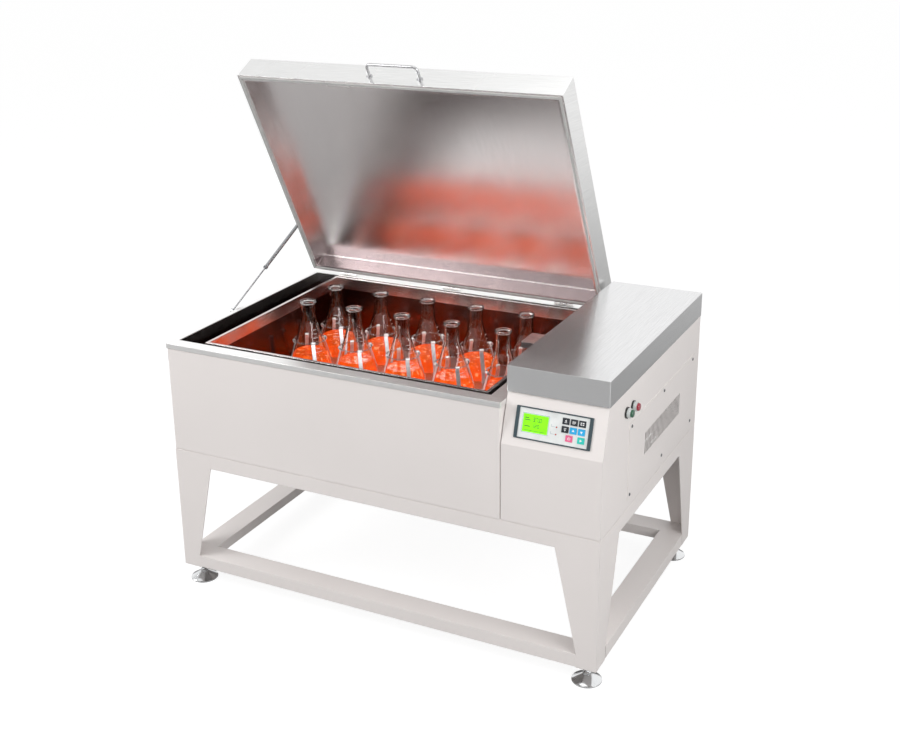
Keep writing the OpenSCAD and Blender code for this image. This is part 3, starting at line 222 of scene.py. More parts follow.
class NodeTree:
    """A node tree, with short ways to add and join nodes."""

    def __init__(self, tree: bpy.types.NodeTree) -> None:
        """Empties the tree and takes it over."""
        self.tree = tree
        self.tree.nodes.clear()

    def add(self, kind: str, **settings: object) -> bpy.types.Node:
        """Adds a node and sets its properties.

        Args:
            kind: The node's type name.
            **settings: Property values.

        Returns:
            The new node.
        """
        node = self.tree.nodes.new(kind)
        for key, value in settings.items():
            setattr(node, key, value)
        return node

    def join(self, source: Socket, target: Socket) -> None:
        """Links one socket to another."""
        self.tree.links.new(source, target)

    def feed(self, value: Socket | float, target: Socket) -> None:
        """Gives an input a value, by a link if the value is a socket.

        Args:
            value: A number or another node's output.
            target: The input.
        """
        if isinstance(value, bpy.types.NodeSocket):
            self.join(value, target)
        else:
            target.default_value = value

    def math(self, operation: str, *values: Socket | float) -> Socket:
        """Adds a sum.

        Args:
            operation: The sum's name.
            *values: Its terms, numbers or sockets.

        Returns:
            The result's socket.
        """
        node = self.add("ShaderNodeMath", operation=operation)
        for value, target in zip(values, node.inputs):
            self.feed(value, target)
        return node.outputs[0]

    def axis(self, vector: Socket, name: str) -> Socket:
        """Takes one part out of a vector.

        Args:
            vector: The vector's socket.
            name: X, Y or Z.

        Returns:
            The part's socket.
        """
        split = self.add("ShaderNodeSeparateXYZ")
        self.join(vector, split.inputs["Vector"])
        return split.outputs[name]

    def ramp(
        self, source: Socket, ends: tuple[float, float], onto: tuple[float, float],
        kind: str = "LINEAR",
    ) -> Socket:
        """Maps one range of values onto another.

        Args:
            source: The value.
            ends: Where the ramp starts and ends.
            onto: The results there.
            kind: LINEAR, or SMOOTHSTEP for soft ends.

        Returns:
            The result's socket.
        """
        node = self.add("ShaderNodeMapRange", interpolation_type=kind)
        for key, value in zip(("From Min", "From Max", "To Min", "To Max"), (*ends, *onto)):
            node.inputs[key].default_value = value
        self.join(source, node.inputs["Value"])
        return node.outputs["Result"]

    def pick(self, flag: Socket, off: Socket | float, on: Socket | float) -> Socket:
        """Picks one of two values.

        Args:
            flag: Zero or one.
            off: The result where the flag is zero.
            on: The result where it is one.

        Returns:
            The picked value's socket.
        """
        mix = self.add("ShaderNodeMix", data_type="FLOAT")
        self.join(flag, mix.inputs[0])
        self.feed(off, mix.inputs[2])
        self.feed(on, mix.inputs[3])
        return mix.outputs[0]

    def mixed(self, factor: Socket, first: Socket, second: Socket) -> Socket:
        """Mixes two shaders.

        Args:
            factor: Zero for the first, one for the second.
            first: A shader's output.
            second: Another shader's output.

        Returns:
            The mixed shader's socket.
        """
        mix = self.add("ShaderNodeMixShader")
        for source, target in zip((factor, first, second), mix.inputs):
            self.join(source, target)
        return mix.outputs[0]


class Shader(NodeTree):
    """A material's node tree, with the patterns that finishes are made of."""

    def __init__(self, name: str) -> None:
        """Starts an empty tree with its output and the Object coordinates."""
        self.material = bpy.data.materials.new(name)
        self.material.use_nodes = True
        super().__init__(self.material.node_tree)
        self.output = self.add("ShaderNodeOutputMaterial")
        self.coords = self.add("ShaderNodeTexCoord").outputs["Object"]

    def noise(self, scale: float, detail: float, stretch: Triple = (1, 1, 1)) -> Socket:
        """Adds a noise pattern on Object coordinates.

        Args:
            scale: Features per metre.
            detail: Octaves of finer noise.
            stretch: How much denser the pattern is along each axis.

        Returns:
            The factor's socket.
        """
        mapping = self.add("ShaderNodeMapping")
        mapping.inputs["Scale"].default_value = stretch
        self.join(self.coords, mapping.inputs["Vector"])
        noise = self.add("ShaderNodeTexNoise")
        noise.inputs["Scale"].default_value = scale
        noise.inputs["Detail"].default_value = detail
        self.join(mapping.outputs["Vector"], noise.inputs["Vector"])
        return noise.outputs["Fac"]

    def between(self, factor: Socket, low: float, high: float) -> Socket:
        """Maps a noise factor from its usual range onto low to high.

        Args:
            factor: The pattern.
            low: Value at the pattern's dark end.
            high: Value at its bright end.

        Returns:
            The mapped value's socket.
        """
        return self.ramp(factor, (PATTERN_LOW, PATTERN_HIGH), (low, high))

    def blend(self, factor: Socket, dark: Colour, light: Colour) -> Socket:
        """Mixes two colours by a pattern.

        Args:
            factor: The pattern, in its usual range.
            dark: Colour at its dark end.
            light: Colour at its bright end.

        Returns:
            The colour's socket.
        """
        ramp = self.add("ShaderNodeValToRGB")
        stops = ((PATTERN_LOW, dark), (PATTERN_HIGH, light))
        for element, (position, colour) in zip(ramp.color_ramp.elements, stops):
            element.position = position
            element.color = (*colour, 1)
        self.join(factor, ramp.inputs["Fac"])
        return ramp.outputs["Color"]

    def beyond(self, axis: str, level: float) -> Socket:
        """Tells the two sides of a level apart.

        Args:
            axis: The axis along which the level is measured: X, Y or Z.
            level: The level in frame millimetres.

        Returns:
            A socket that is one beyond the level and zero before it.
        """
        return self.math("GREATER_THAN", self.axis(self.coords, axis), level * MM)

    def bump(self, height: Socket, strength: float, distance: float, edge: float) -> Socket:
        """Adds a bump on top of softened edges.

        Args:
            height: The pattern that is the height.
            strength: How strongly it shows.
            distance: The height of its peaks in metres.
            edge: Radius in metres that softens sharp edges.

        Returns:
            The normal's socket.
        """
        bump = self.add("ShaderNodeBump")
        bump.inputs["Strength"].default_value = strength
        bump.inputs["Distance"].default_value = distance
        self.join(height, bump.inputs["Height"])
        soft = self.add("ShaderNodeBevel", samples=4)
        soft.inputs["Radius"].default_value = edge
        self.join(soft.outputs["Normal"], bump.inputs["Normal"])
        return bump.outputs["Normal"]

    def surface(self, **values: object) -> bpy.types.Node:
        """Adds the main shader and plugs it into the output.

        Args:
            **values: Values or sockets by input name, with underscores for spaces.

        Returns:
            The shader node.
        """
        main = self.add("ShaderNodeBsdfPrincipled")
        for key, value in values.items():
            self.feed(value, main.inputs[key.replace("_", " ")])
        self.join(main.outputs["BSDF"], self.output.inputs["Surface"])
        return main


def shade(colour: Colour, factor: float) -> Colour:
    """Darkens or lightens a colour by a factor."""
    return tuple(min(1.0, c * factor) for c in colour)


class Grain(Enum):
    """The direction in which a sheet's brush lines run, as pattern density along X, Y and Z."""

    ALONG_X = (1.0, 60.0, 60.0)
    ALONG_Y = (60.0, 1.0, 60.0)
    UP_THE_LID = (60.0, 1.0, 1.0)
    NONE = (12.0, 12.0, 12.0)


@dataclass(frozen=True)
class Finish(ABC):
    """A surface finish that can be built as a material."""

    name: str

    @abstractmethod
    def paint(self, s: Shader) -> None:
        """Lays the finish into a material's tree.

        Args:
            s: The tree.
        """

    def build(self) -> bpy.types.Material:
        """Builds the finish.

        Returns:
            Its material.
        """
        s = Shader(self.name)
        self.paint(s)
        return s.material


@dataclass(frozen=True)
class PowderCoat(Finish):
    """Satin powder coat with a fine orange-peel surface and softened folds."""

    colour: Colour
    roughness: float = 0.40
    fold_radius: float = 0.0016

    def paint(self, s: Shader) -> None:
        """Clouds the colour and peels the surface."""
        cloud = s.noise(3.0, 3)
        peel = s.noise(650.0, 2)
        s.surface(
            Base_Color=s.blend(cloud, shade(self.colour, 0.975), shade(self.colour, 1.01)),
            Roughness=s.between(s.noise(24.0, 4), self.roughness - 0.05, self.roughness + 0.06),
            Normal=s.bump(peel, 0.08, 0.00025, self.fold_radius),
            Coat_Weight=0.12,
            Coat_Roughness=0.25,
        )


@dataclass(frozen=True)
class BrushedSteel(Finish):
    """Stainless sheet with brush lines that vary its gloss and tint.

    The lines run as `grain` says, except that on walls that face along X they run along Y. Below a
    set height the sheet takes a second, darker colour, which is painted shade, as where a chamber's
    walls see only each other; on a clamp it leaves the tips above it bright as a painted highlight.
    `spread` draws reflections out along X, across lines that run up the sheet, and `metal` below
    one mixes in a satin plating.
    """

    colour: Colour
    grain: Grain
    roughness: float
    lines: float = 0.22
    # Darker colour below a set height, and that height: painted shade.
    painted_shade: Colour | None = None
    painted_shade_z: float = 0.0
    spread: float = 0.0
    metal: float = 1.0
    fold_radius: float = 0.0012

    def brush(self, s: Shader) -> Socket:
        """Adds the brush lines.

        Args:
            s: The material's tree.

        Returns:
            The pattern's socket.
        """
        density, detail, facing_x = 14.0, 5, 0.7
        lines = s.noise(density, detail, self.grain.value)
        if self.grain is not Grain.ALONG_X:
            return lines
        facing = s.axis(s.add("ShaderNodeNewGeometry").outputs["True Normal"], "X")
        side = s.math("GREATER_THAN", s.math("ABSOLUTE", facing), facing_x)
        return s.pick(side, lines, s.noise(density, detail, Grain.ALONG_Y.value))

    def paint(self, s: Shader) -> None:
        """Brushes the sheet, paints shade on its lower part and draws its reflections out."""
        brush = self.brush(s)
        smear = s.noise(2.4, 3)
        colour = s.blend(brush, shade(self.colour, 0.92), shade(self.colour, 1.06))
        # Painted shade: below the set height the colour turns to the darker second colour.
        if self.painted_shade:
            low = s.blend(brush, shade(self.painted_shade, 0.85), shade(self.painted_shade, 1.15))
            mix = s.add("ShaderNodeMix", data_type="RGBA")
            s.join(s.beyond("Z", self.painted_shade_z), mix.inputs["Factor"])
            s.join(low, mix.inputs[6])
            s.join(colour, mix.inputs[7])
            colour = mix.outputs[2]
        main = s.surface(
            Base_Color=colour,
            Metallic=self.metal,
            Roughness=s.between(smear, self.roughness - 0.03, self.roughness + 0.05),
            Normal=s.bump(brush, self.lines, 0.0004, self.fold_radius),
            Anisotropic=self.spread,
        )
        if self.spread:
            across = s.add("ShaderNodeCombineXYZ")
            for axis, value in zip("XYZ", (1.0, 0.05, 0.05)):
                across.inputs[axis].default_value = value
            s.join(across.outputs["Vector"], main.inputs["Tangent"])


@dataclass(frozen=True)
class PolishedMetal(Finish):
    """Chrome, zinc or turned metal with faint wear."""

    colour: Colour = (0.78, 0.79, 0.80)
    roughness: float = 0.10
    wear: float = 0.06

    def paint(self, s: Shader) -> None:
        """Wears the gloss by a fine pattern."""
        fine = s.noise(120.0, 4)
        s.surface(
            Base_Color=s.blend(s.noise(30.0, 3), shade(self.colour, 0.93), self.colour),
            Metallic=1.0,
            Roughness=s.between(fine, self.roughness, self.roughness + self.wear),
            Normal=s.bump(fine, 0.03, 0.0002, 0.0006),
        )


@dataclass(frozen=True)
class Plastic(Finish):
    """Moulded plastic, rubber or enamel, told apart by gloss and grain."""

    colour: Colour
    roughness: float
    grain_depth: float
    coat: float = 0.0
    edge: float = 0.0004

    def paint(self, s: Shader) -> None:
        """Varies the colour and gloss and grains the surface."""
        cloud = s.noise(35.0, 4)
        fine = s.noise(900.0, 3)
        s.surface(
            Base_Color=s.blend(cloud, shade(self.colour, 0.90), shade(self.colour, 1.06)),
            Roughness=s.between(s.noise(160.0, 3), self.roughness - 0.04, self.roughness + 0.06),
            Normal=s.bump(fine, self.grain_depth, 0.0002, self.edge),
            Coat_Weight=self.coat,
            Coat_Roughness=0.08,
        )


@dataclass(frozen=True)
class SteppedPlastic(Finish):
    """Two plastics in one moulding stack: `inner` before the step along X and `outer` beyond it."""

    inner: Colour
    outer: Colour
    step_x: float
    roughness: float = 0.24

    def paint(self, s: Shader) -> None:
        """Colours the two sides of the step."""
        fine = s.noise(500.0, 3)
        side = s.beyond("X", self.step_x - FOOT_INSET)
        s.surface(
            Base_Color=s.blend(side, self.inner, self.outer),
            Roughness=s.between(fine, self.roughness - 0.04, self.roughness + 0.06),
            Normal=s.bump(fine, 0.05, 0.0002, 0.0004),
            Coat_Weight=0.3,
            Coat_Roughness=0.08,
        )


@dataclass(frozen=True)
class SeeThrough(Finish):
    """Clear glass or coloured liquid, which lets light through to what lies behind.

    `glow` is painted light: an emission that stands in for light that scatters inside a liquid. It
    gathers in painted glints and grows brighter towards the liquid's surface, and a second
    emission, seen only in reflections, adds a painted reflection where a polished sheet reflects
    the liquid.
    """

    colour: Colour
    refraction: float
    through: float = 1.0
    shadow: Colour = (0.93, 0.96, 0.96)
    glow: float = 0.0
    # Extra glow seen only in reflections, a painted reflection, and the colour of the painted
    # glints.
    painted_reflection_glow: float = 0.0
    glint_colour: Colour = (1.0, 1.0, 1.0)
    surface_z: float = 0.0
    depth: float = 0.97

    def light(self, s: Shader, main: bpy.types.Node) -> None:
        """Paints light into a liquid: glowing glints, a glow that brightens towards the surface,
        and a painted reflection.

        Args:
            s: The material's tree.
            main: Its main shader.
        """
        bright_from, bright_to, glow_depth, glint_gain = 0.54, 0.68, 45.0, 16.0
        # Painted glints: the noise pattern's peaks glow in the glint colour.
        glint_pattern = s.noise(70.0, 3, (1.0, 1.0, 0.4))
        peaks = s.ramp(glint_pattern, (bright_from, bright_to), (0.0, 1.0), "SMOOTHSTEP")
        s.join(s.blend(peaks, self.colour, self.glint_colour), main.inputs["Emission Color"])
        # Painted light: the glow grows from below the liquid's surface up to it.
        levels = ((self.surface_z - glow_depth) * MM, self.surface_z * MM)
        rise = s.ramp(s.axis(s.coords, "Z"), levels, (self.glow * 0.6, self.glow * 1.5))
        seen = s.math("MULTIPLY_ADD", peaks, self.glow * glint_gain, rise)
        # Painted reflection: the glow is stronger where a polished sheet reflects the liquid.
        in_mirror = s.add("ShaderNodeLightPath").outputs["Is Glossy Ray"]
        strength = s.math("MULTIPLY_ADD", in_mirror, self.painted_reflection_glow, seen)
        s.join(strength, main.inputs["Emission Strength"])

    def paint(self, s: Shader) -> None:
        """Lets light through, and shadow rays too, so that the shadow is tinted and pale."""
        main = s.surface(
            Base_Color=s.blend(s.noise(38.0, 3), shade(self.colour, self.depth), self.colour),
            Roughness=s.between(s.noise(60.0, 2), 0.0, 0.02),
            IOR=self.refraction,
            Transmission_Weight=self.through,
        )
        if self.glow:
            self.light(s, main)
        clear = s.add("ShaderNodeBsdfTransparent")
        clear.inputs["Color"].default_value = (*self.shadow, 1)
        is_shadow = s.add("ShaderNodeLightPath").outputs["Is Shadow Ray"]
        both = s.mixed(is_shadow, main.outputs["BSDF"], clear.outputs["BSDF"])
        s.join(both, s.output.inputs["Surface"])


@dataclass(frozen=True)
class LitDisplay(Finish):
    """The backlit green display, with a slightly uneven light."""

    colour: Colour
    glow: float = 0.55

    def paint(self, s: Shader) -> None:
        """Lights the display from behind a glossy front."""
        tint = s.blend(s.noise(45.0, 2), shade(self.colour, 0.86), shade(self.colour, 1.08))
        s.surface(
            Base_Color=tint,
            Emission_Color=tint,
            Emission_Strength=self.glow,
            Roughness=0.18,
            Coat_Weight=0.5,
            Coat_Roughness=0.03,
        )


FINISHES: dict[str, Finish] = {
    "cream": PowderCoat("cream_powder_coat", (0.82, 0.772, 0.752)),
    "shell_steel": BrushedSteel(
        "lid_shell_steel", (0.78, 0.78, 0.775), Grain.ALONG_X, 0.26, 0.09
    ),
    # The lid pan's lower wall is darker below 803 mm: painted shade.
    "pan_steel": BrushedSteel(
        "lid_pan_steel", (0.84, 0.80, 0.795), Grain.UP_THE_LID, 0.24, 0.36,
        painted_shade=(0.42, 0.35, 0.355), painted_shade_z=803.0, spread=0.75,
    ),
    "cover_steel": BrushedSteel(
        "cover_steel", (0.76, 0.76, 0.765), Grain.ALONG_Y, 0.24, 0.09
    ),
    "rim_steel": BrushedSteel(
        "rim_steel", (0.95, 0.94, 0.93), Grain.ALONG_X, 0.30, 0.08
    ),
    # The chamber liner is darker and browner below 722 mm: painted shade.
    "tank_steel": BrushedSteel(
        "tank_steel", (0.80, 0.78, 0.77), Grain.ALONG_X, 0.22, 0.12,
        painted_shade=(0.45, 0.33, 0.31), painted_shade_z=722.0,
    ),
    # The air frame is nearly black below 714 mm: painted shade inside the chamber.
    "frame_steel": BrushedSteel(
        "air_frame_steel", (0.72, 0.66, 0.645), Grain.ALONG_X, 0.2, 0.08,
        painted_shade=(0.10, 0.06, 0.055), painted_shade_z=714.0,
    ),
    "plate": BrushedSteel("platform_sheet", (0.60, 0.60, 0.60), Grain.ALONG_X, 0.34),
    "chrome": PolishedMetal("chrome_plate"),
    "handle": PolishedMetal("handle_steel", (0.50, 0.50, 0.51), 0.18, 0.08),
    "zinc": PolishedMetal("zinc_plate", (0.55, 0.56, 0.57), 0.28, 0.12),
    "nut_steel": PolishedMetal("dark_nut_steel", (0.16, 0.16, 0.17), 0.30, 0.12),
    "spring": PolishedMetal("spring_steel", (0.46, 0.46, 0.47), 0.16, 0.08),
    # The clamps are white above 629 mm, a painted highlight on the tips' curls; the steel below is
    # darker.
    "clamp": BrushedSteel(
        "clamp_steel", (1.0, 1.0, 1.0), Grain.NONE, 0.16, 0.05,
        painted_shade=(0.74, 0.75, 0.78), painted_shade_z=629.0, metal=0.5,
    ),
    "turned": PolishedMetal("turned_steel", (0.50, 0.51, 0.53), 0.24, 0.10),
    "cast": PolishedMetal("cast_iron", (0.20, 0.20, 0.205), 0.45, 0.15),
    "heater": PolishedMetal("heater_sheath", (0.26, 0.22, 0.19), 0.36, 0.14),
    "machine_grey": Plastic("machine_enamel", (0.16, 0.18, 0.20), 0.42, 0.12),
    "rubber": Plastic("black_rubber", (0.018, 0.018, 0.019), 0.62, 0.3),
    "black": Plastic("black_plastic", (0.025, 0.025, 0.028), 0.36, 0.18),
    "silicone": Plastic("grey_silicone", (0.50, 0.50, 0.49), 0.5, 0.15),
    "tube_silver": PolishedMetal("satin_silver_tube", (0.36, 0.37, 0.38), 0.30, 0.08),
    "bezel": Plastic("bezel_blue_grey", (0.045, 0.072, 0.085), 0.34, 0.08),
    "film": Plastic("white_film", (0.78, 0.80, 0.79), 0.34, 0.05, 0.2),
    "key_black": Plastic("key_black", (0.018, 0.022, 0.03), 0.30, 0.05, 0.3),
    "key_blue": Plastic("key_blue", (0.02, 0.42, 0.80), 0.30, 0.05, 0.3),
    "key_pink": Plastic("key_pink", (0.85, 0.14, 0.30), 0.30, 0.05, 0.3),
    "key_teal": Plastic("key_teal", (0.03, 0.60, 0.52), 0.30, 0.05, 0.3),
    "print_white": Plastic("white_print", (0.85, 0.86, 0.86), 0.5, 0.02),
    "print_dark": Plastic("dark_print", (0.02, 0.035, 0.02), 0.5, 0.02),
    "print_grey": Plastic("grey_print", (0.25, 0.33, 0.38), 0.5, 0.02),
    "collars": SteppedPlastic(
        "ring_and_collar", (0.012, 0.012, 0.013), (0.62, 0.66, 0.65), 1304.55
    ),
    "green_cap": Plastic("green_cap", (0.008, 0.10, 0.045), 0.22, 0.02, 0.6),
    "red_cap": Plastic("red_cap", (0.34, 0.014, 0.035), 0.22, 0.02, 0.6),
    "lamp": Plastic("lamp_red", (0.45, 0.05, 0.03), 0.2, 0.02, 0.5),
    "board": Plastic("solder_mask", (0.01, 0.09, 0.035), 0.35, 0.2),
    "display": LitDisplay("lit_display", (0.21, 0.80, 0.006)),
    "glass": SeeThrough("clear_glass", (0.97, 0.985, 0.98), 1.47),
    # The liquid glows though it is no lamp: painted light, with painted glints and a painted
    # reflection in the steel.
    "liquid": SeeThrough(
        "orange_liquid", (1.0, 0.15, 0.015), 1.33, 0.80, (1.0, 0.36, 0.12),
        glow=0.022, painted_reflection_glow=0.26, glint_colour=(1.0, 0.46, 0.20), surface_z=598.0, depth=0.55,
    ),
}


@dataclass
class Workshop:
    """Builds each finish once and dresses the frame's own solids."""

    built: dict[str, bpy.types.Material] = field(default_factory=dict)

    def material(self, name: str) -> bpy.types.Material:
        """Builds a finish the first time it is asked for.

        Args:
            name: The finish's name in the table.

        Returns:
            Its material.
        """
        if name not in self.built:
            self.built[name] = FINISHES[name].build()
        return self.built[name]

    def dress(self, finish: str, *nodes: str) -> None:
        """Gives CAD nodes a finish.

        Args:
            finish: The finish's name in the table.
            *nodes: Names of the nodes.
        """
        material = self.material(finish)
        for node in nodes:
            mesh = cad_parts[node].data
            mesh.materials.clear()
            mesh.materials.append(material)
            log.info("%s wears %s", node, finish)


class SubAssembly:
    """One sub-assembly: the finishes of its solids and the pieces that are added to it."""

    finishes: ClassVar[dict[str, tuple[str, ...]]] = {}

    def build(self, shop: Workshop) -> None:
        """Dresses the solids and adds the pieces.

        Args:
            shop: The finishes.
        """
        for finish, nodes in self.finishes.items():
            shop.dress(finish, *nodes)
        self.add_pieces(shop)

    def add_pieces(self, shop: Workshop) -> None:
        """Adds nothing, unless a sub-assembly has pieces of its own."""


@dataclass
class Stand(SubAssembly):
    """The sheet-metal stand with its levelling feet."""

    finishes = {
        "cream": ("stand_legs", "top_rails", "lower_rails"),
        "chrome": ("foot_front_left", "foot_front_right", "foot_rear_left", "foot_rear_right"),
        "nut_steel": ("foot_locknuts",),
    }
    width: float = 1300.0
    depth: float = 810.0
    stud_radius: float = 6.0
    thread_pitch: float = 1.75
    thread_bottom: float = 30.0
    thread_top: float = 45.0
    ridge: float = 0.55

    def feet(self) -> dict[str, tuple[float, float]]:
        """Finds the levelling feet.

        Returns:
            The body of each foot with its axis.
        """
        far_x = self.width - FOOT_INSET
        far_y = self.depth - FOOT_INSET
        return {
            "levelling_front_left": (FOOT_INSET, FOOT_INSET),
            "levelling_front_right": (far_x, FOOT_INSET),
            "levelling_rear_left": (FOOT_INSET, far_y),
            "levelling_rear_right": (far_x, far_y),
        }

    def thread(self, axis: tuple[float, float]) -> Surface:
        """Winds a thread ridge on a stud: a helix of one turn per pitch round the foot's axis.

        Args:
            axis: The foot's X and Y.

        Returns:
            Vertices and quads.
        """
        turns = (self.thread_top - self.thread_bottom) / self.thread_pitch
        steps_per_turn, sides = 28, 5
        t = np.linspace(0, turns, int(turns * steps_per_turn))
        angle, flat = 2 * np.pi * t, np.zeros_like(t)
        outward = np.stack([np.cos(angle), np.sin(angle), flat], -1)
        rise = np.stack([flat, flat, self.thread_bottom + t * self.thread_pitch], -1)
        path = np.array([*axis, 0.0]) + outward * self.stud_radius + rise
        return wound_tube(path, outward, self.ridge, sides)

    def add_pieces(self, shop: Workshop) -> None:
        """Adds the studs' threads."""
        for body, axis in self.feet().items():
            verts, faces = self.thread(axis)
            make_piece(body + "_thread", verts, faces, shop.material("zinc"), body)
            log.info("%s has its thread", body)


class Cabinet(SubAssembly):
    """Casings, rim, cover, side panel and buttons."""

    finishes = {
        "cream": ("base_pan", "chamber_casing", "control_housing", "access_panel"),
        "cover_steel": ("housing_cover",),
        "rim_steel": ("rim_frame", "hinge_fixed_leaves"),
        "tank_steel": ("chamber_liner",),
        "frame_steel": ("air_frame",),
        "shell_steel": ("sensor_bracket",),
        "zinc": ("strut_bracket",),
        "nut_steel": ("panel_screws",),
        "collars": ("button_housings",),
        "green_cap": ("start_button",),
        "red_cap": ("stop_button",),
        "black": ("power_inlet",),
    }


@dataclass
class Segments:
    """A seven-segment digit, as in plain displays."""

    width: float = 5.0
    height: float = 9.0
    stroke: float = 1.1
    gap: float = 0.25
    spacing: float = 1.9
    lit: dict[str, str] = field(
        default_factory=lambda: {
            "0": "abcdef", "1": "bc", "2": "abged", "3": "abgcd", "4": "fgbc",
            "5": "afgcd", "6": "afgedc", "7": "abc", "8": "abcdefg", "9": "abcdfg",
        }
    )

    def bars(self, digit: str) -> list[tuple[float, float, float, float]]:
        """Gives the lit bars of a digit.

        Args:
            digit: One numeral.

        Returns:
            (left, bottom, right, top) of each bar, from the digit's lower left corner.
        """
        w, h, t, g = self.width, self.height, self.stroke, self.gap
        m = h / 2
        table = {
            "a": (g, h - t, w - g, h), "b": (w - t, m + g, w, h - g), "c": (w - t, g, w, m - g),
            "d": (g, 0, w - g, t), "e": (0, g, t, m - g), "f": (0, m + g, t, h - g),
            "g": (g, m - t / 2, w - g, m + t / 2),
        }
        return [table[c] for c in self.lit[digit]]


@dataclass
class ControlPanel(SubAssembly):
    """The sloped panel: display with plain numerals, key symbols and printed lines."""

    finishes = {
        "bezel": ("panel_bezel",),
        "film": ("keypad_membrane",),
        "display": ("display",),
        "lamp": ("indicator_lights",),
        "board": ("control_board",),
        "key_black": ("key_1", "key_2", "key_3", "key_4"),
        "key_blue": ("key_5", "key_6"),
        "key_pink": ("key_7",),
        "key_teal": ("key_8",),
    }
    crease_z: float = 644.5
    rise: float = 128.5
    lean: float = 42.0
    bezel_x: float = 1062.5
    bezel_s: float = 22.0
    bezel_w: float = 202.0
    film_top: float = 1.2
    key_top: float = 2.2
    display_top: float = 0.9
    key_pitch: float = 21.3
    row_pitch: float = 20.5
    print_lift: float = 0.06
    display_at: tuple[float, float] = (20.0, 19.0)
    display_size: tuple[float, float] = (67.0, 45.0)
    keys_at: tuple[float, float] = (132.0, 20.5)
    lamps_at: tuple[float, float, float] = (109.5, 25.0, 43.0)
    digit: Segments = field(default_factory=Segments)

    def on_slope(self, x: np.ndarray, s: np.ndarray, n: float) -> np.ndarray:
        """Maps panel coordinates to stand millimetres: X across, s up the slope, n out of it.

        Args:
            x: Places across.
            s: Places up the slope from the crease.
            n: Height above the slope.

        Returns:
            The points.
        """
        angle = math.atan(self.lean / self.rise)
        x, s = np.broadcast_arrays(np.asarray(x, float), np.asarray(s, float))
        y = s * math.sin(angle) - n * math.cos(angle)
        z = self.crease_z + s * math.cos(angle) + n * math.sin(angle)
        return np.stack([x, y, z], -1)

    def plates(self, shapes: list[np.ndarray], level: float) -> tuple[np.ndarray, list]:
        """Turns flat outlines into faces at one level of the panel.

        Args:
            shapes: Outlines as rows of X and s, anticlockwise.
            level: Height above the slope.

        Returns:
            Vertices and faces.
        """
        points = np.concatenate([self.on_slope(p[:, 0], p[:, 1], level) for p in shapes])
        faces, first = [], 0
        for p in shapes:
            faces.append(list(range(first, first + len(p))))
            first += len(p)
        return points, faces

    @staticmethod
    def rectangle(left: float, bottom: float, right: float, top: float) -> np.ndarray:
        """Returns a rectangle's outline."""
        return np.array([[left, bottom], [right, bottom], [right, top], [left, top]], float)

    @staticmethod
    def disc(x: float, s: float, radius: float, corners: int = 20, turn: float = 0.0) -> np.ndarray:
        """Returns a regular outline: radius (cos a, sin a) round a centre, from angle turn."""
        a = turn + np.linspace(0, 2 * np.pi, corners, endpoint=False)
        return np.stack([x + radius * np.cos(a), s + radius * np.sin(a)], -1)

    def numerals(self, text: str, x: float, s: float, size: float) -> list[np.ndarray]:
        """Sets plain numerals in a row.

        Args:
            text: Digits and points.
            x: Left end.
            s: Baseline.
            size: Scale of the digits.

        Returns:
            Outlines of the bars.
        """
        shapes = []
        for c in text:
            if c == ".":
                shapes.append(self.rectangle(x - 0.9 * size, s, x + 0.3 * size, s + 1.2 * size))
                x += 1.0 * size
            else:
                shapes += [
                    self.rectangle(x + a * size, s + b * size, x + d * size, s + e * size)
                    for a, b, d, e in self.digit.bars(c)
                ]
                x += (self.digit.width + self.digit.spacing) * size
        return shapes

    def key_centres(self) -> list[tuple[float, float]]:
        """Finds the keys, three to a row in two rows and two below them.

        Returns:
            Each key's centre across and up the slope.
        """
        places = [(0, 2), (1, 2), (2, 2), (0, 1), (1, 1), (2, 1), (0.6, 0), (2.05, 0)]
        x0 = self.bezel_x + self.keys_at[0]
        s0 = self.bezel_s + self.keys_at[1]
        return [(x0 + a * self.key_pitch, s0 + b * self.row_pitch) for a, b in places]

    def symbols(self) -> list[list[np.ndarray]]:
        """Draws a plain symbol for each key.

        Returns:
            Each symbol as outlines round the key's centre.
        """
        r, d = self.rectangle, self.disc
        up = math.pi / 2
        return [
            [d(0, 1.2, 3.2, 3, up), r(-3.4, -3.6, 3.4, -2.4)],
            [r(-4.6, 1.6, 4.6, 3.0), r(-4.6, -1.0, 4.6, 0.4), r(-4.6, -3.6, 1.6, -2.2)],
            [r(a, b, a + 4.0, b + 2.4) for b in (1.2, -3.2) for a in (-4.8, 0.8)],
            [d(0, -1.2, 3.2, 3, -up), r(-3.4, 2.4, 3.4, 3.6)],
            [d(0, 0, 4.0, 3, up)],
            [d(0, 0, 4.0, 3, -up)],
            [
                r(-0.8, 0.4, 0.8, 4.4), r(-3.6, -3.2, 3.6, -1.8),
                r(-3.6, -3.2, -2.2, 2.2), r(2.2, -3.2, 3.6, 2.2),
            ],
            [d(-0.6, 0, 4.0, 3, 0.0)],
        ]

    def display_print(self, x: float, s: float) -> list[np.ndarray]:
        """Sets two rows of numerals on the display, with bars for the words beside them.

        Args:
            x: The display's left edge.
            s: Its lower edge.

        Returns:
            The outlines.
        """
        bars = [(5, 29, 20, 31), (5, 34, 16, 36), (5, 13.5, 20, 15.5), (5, 4, 60, 5)]
        shapes = self.numerals("37.0", x + 26, s + 27, 1.15)
        shapes += self.numerals("120", x + 26, s + 12, 0.95)
        return shapes + [self.rectangle(x + a, s + b, x + c, s + d) for a, b, c, d in bars]

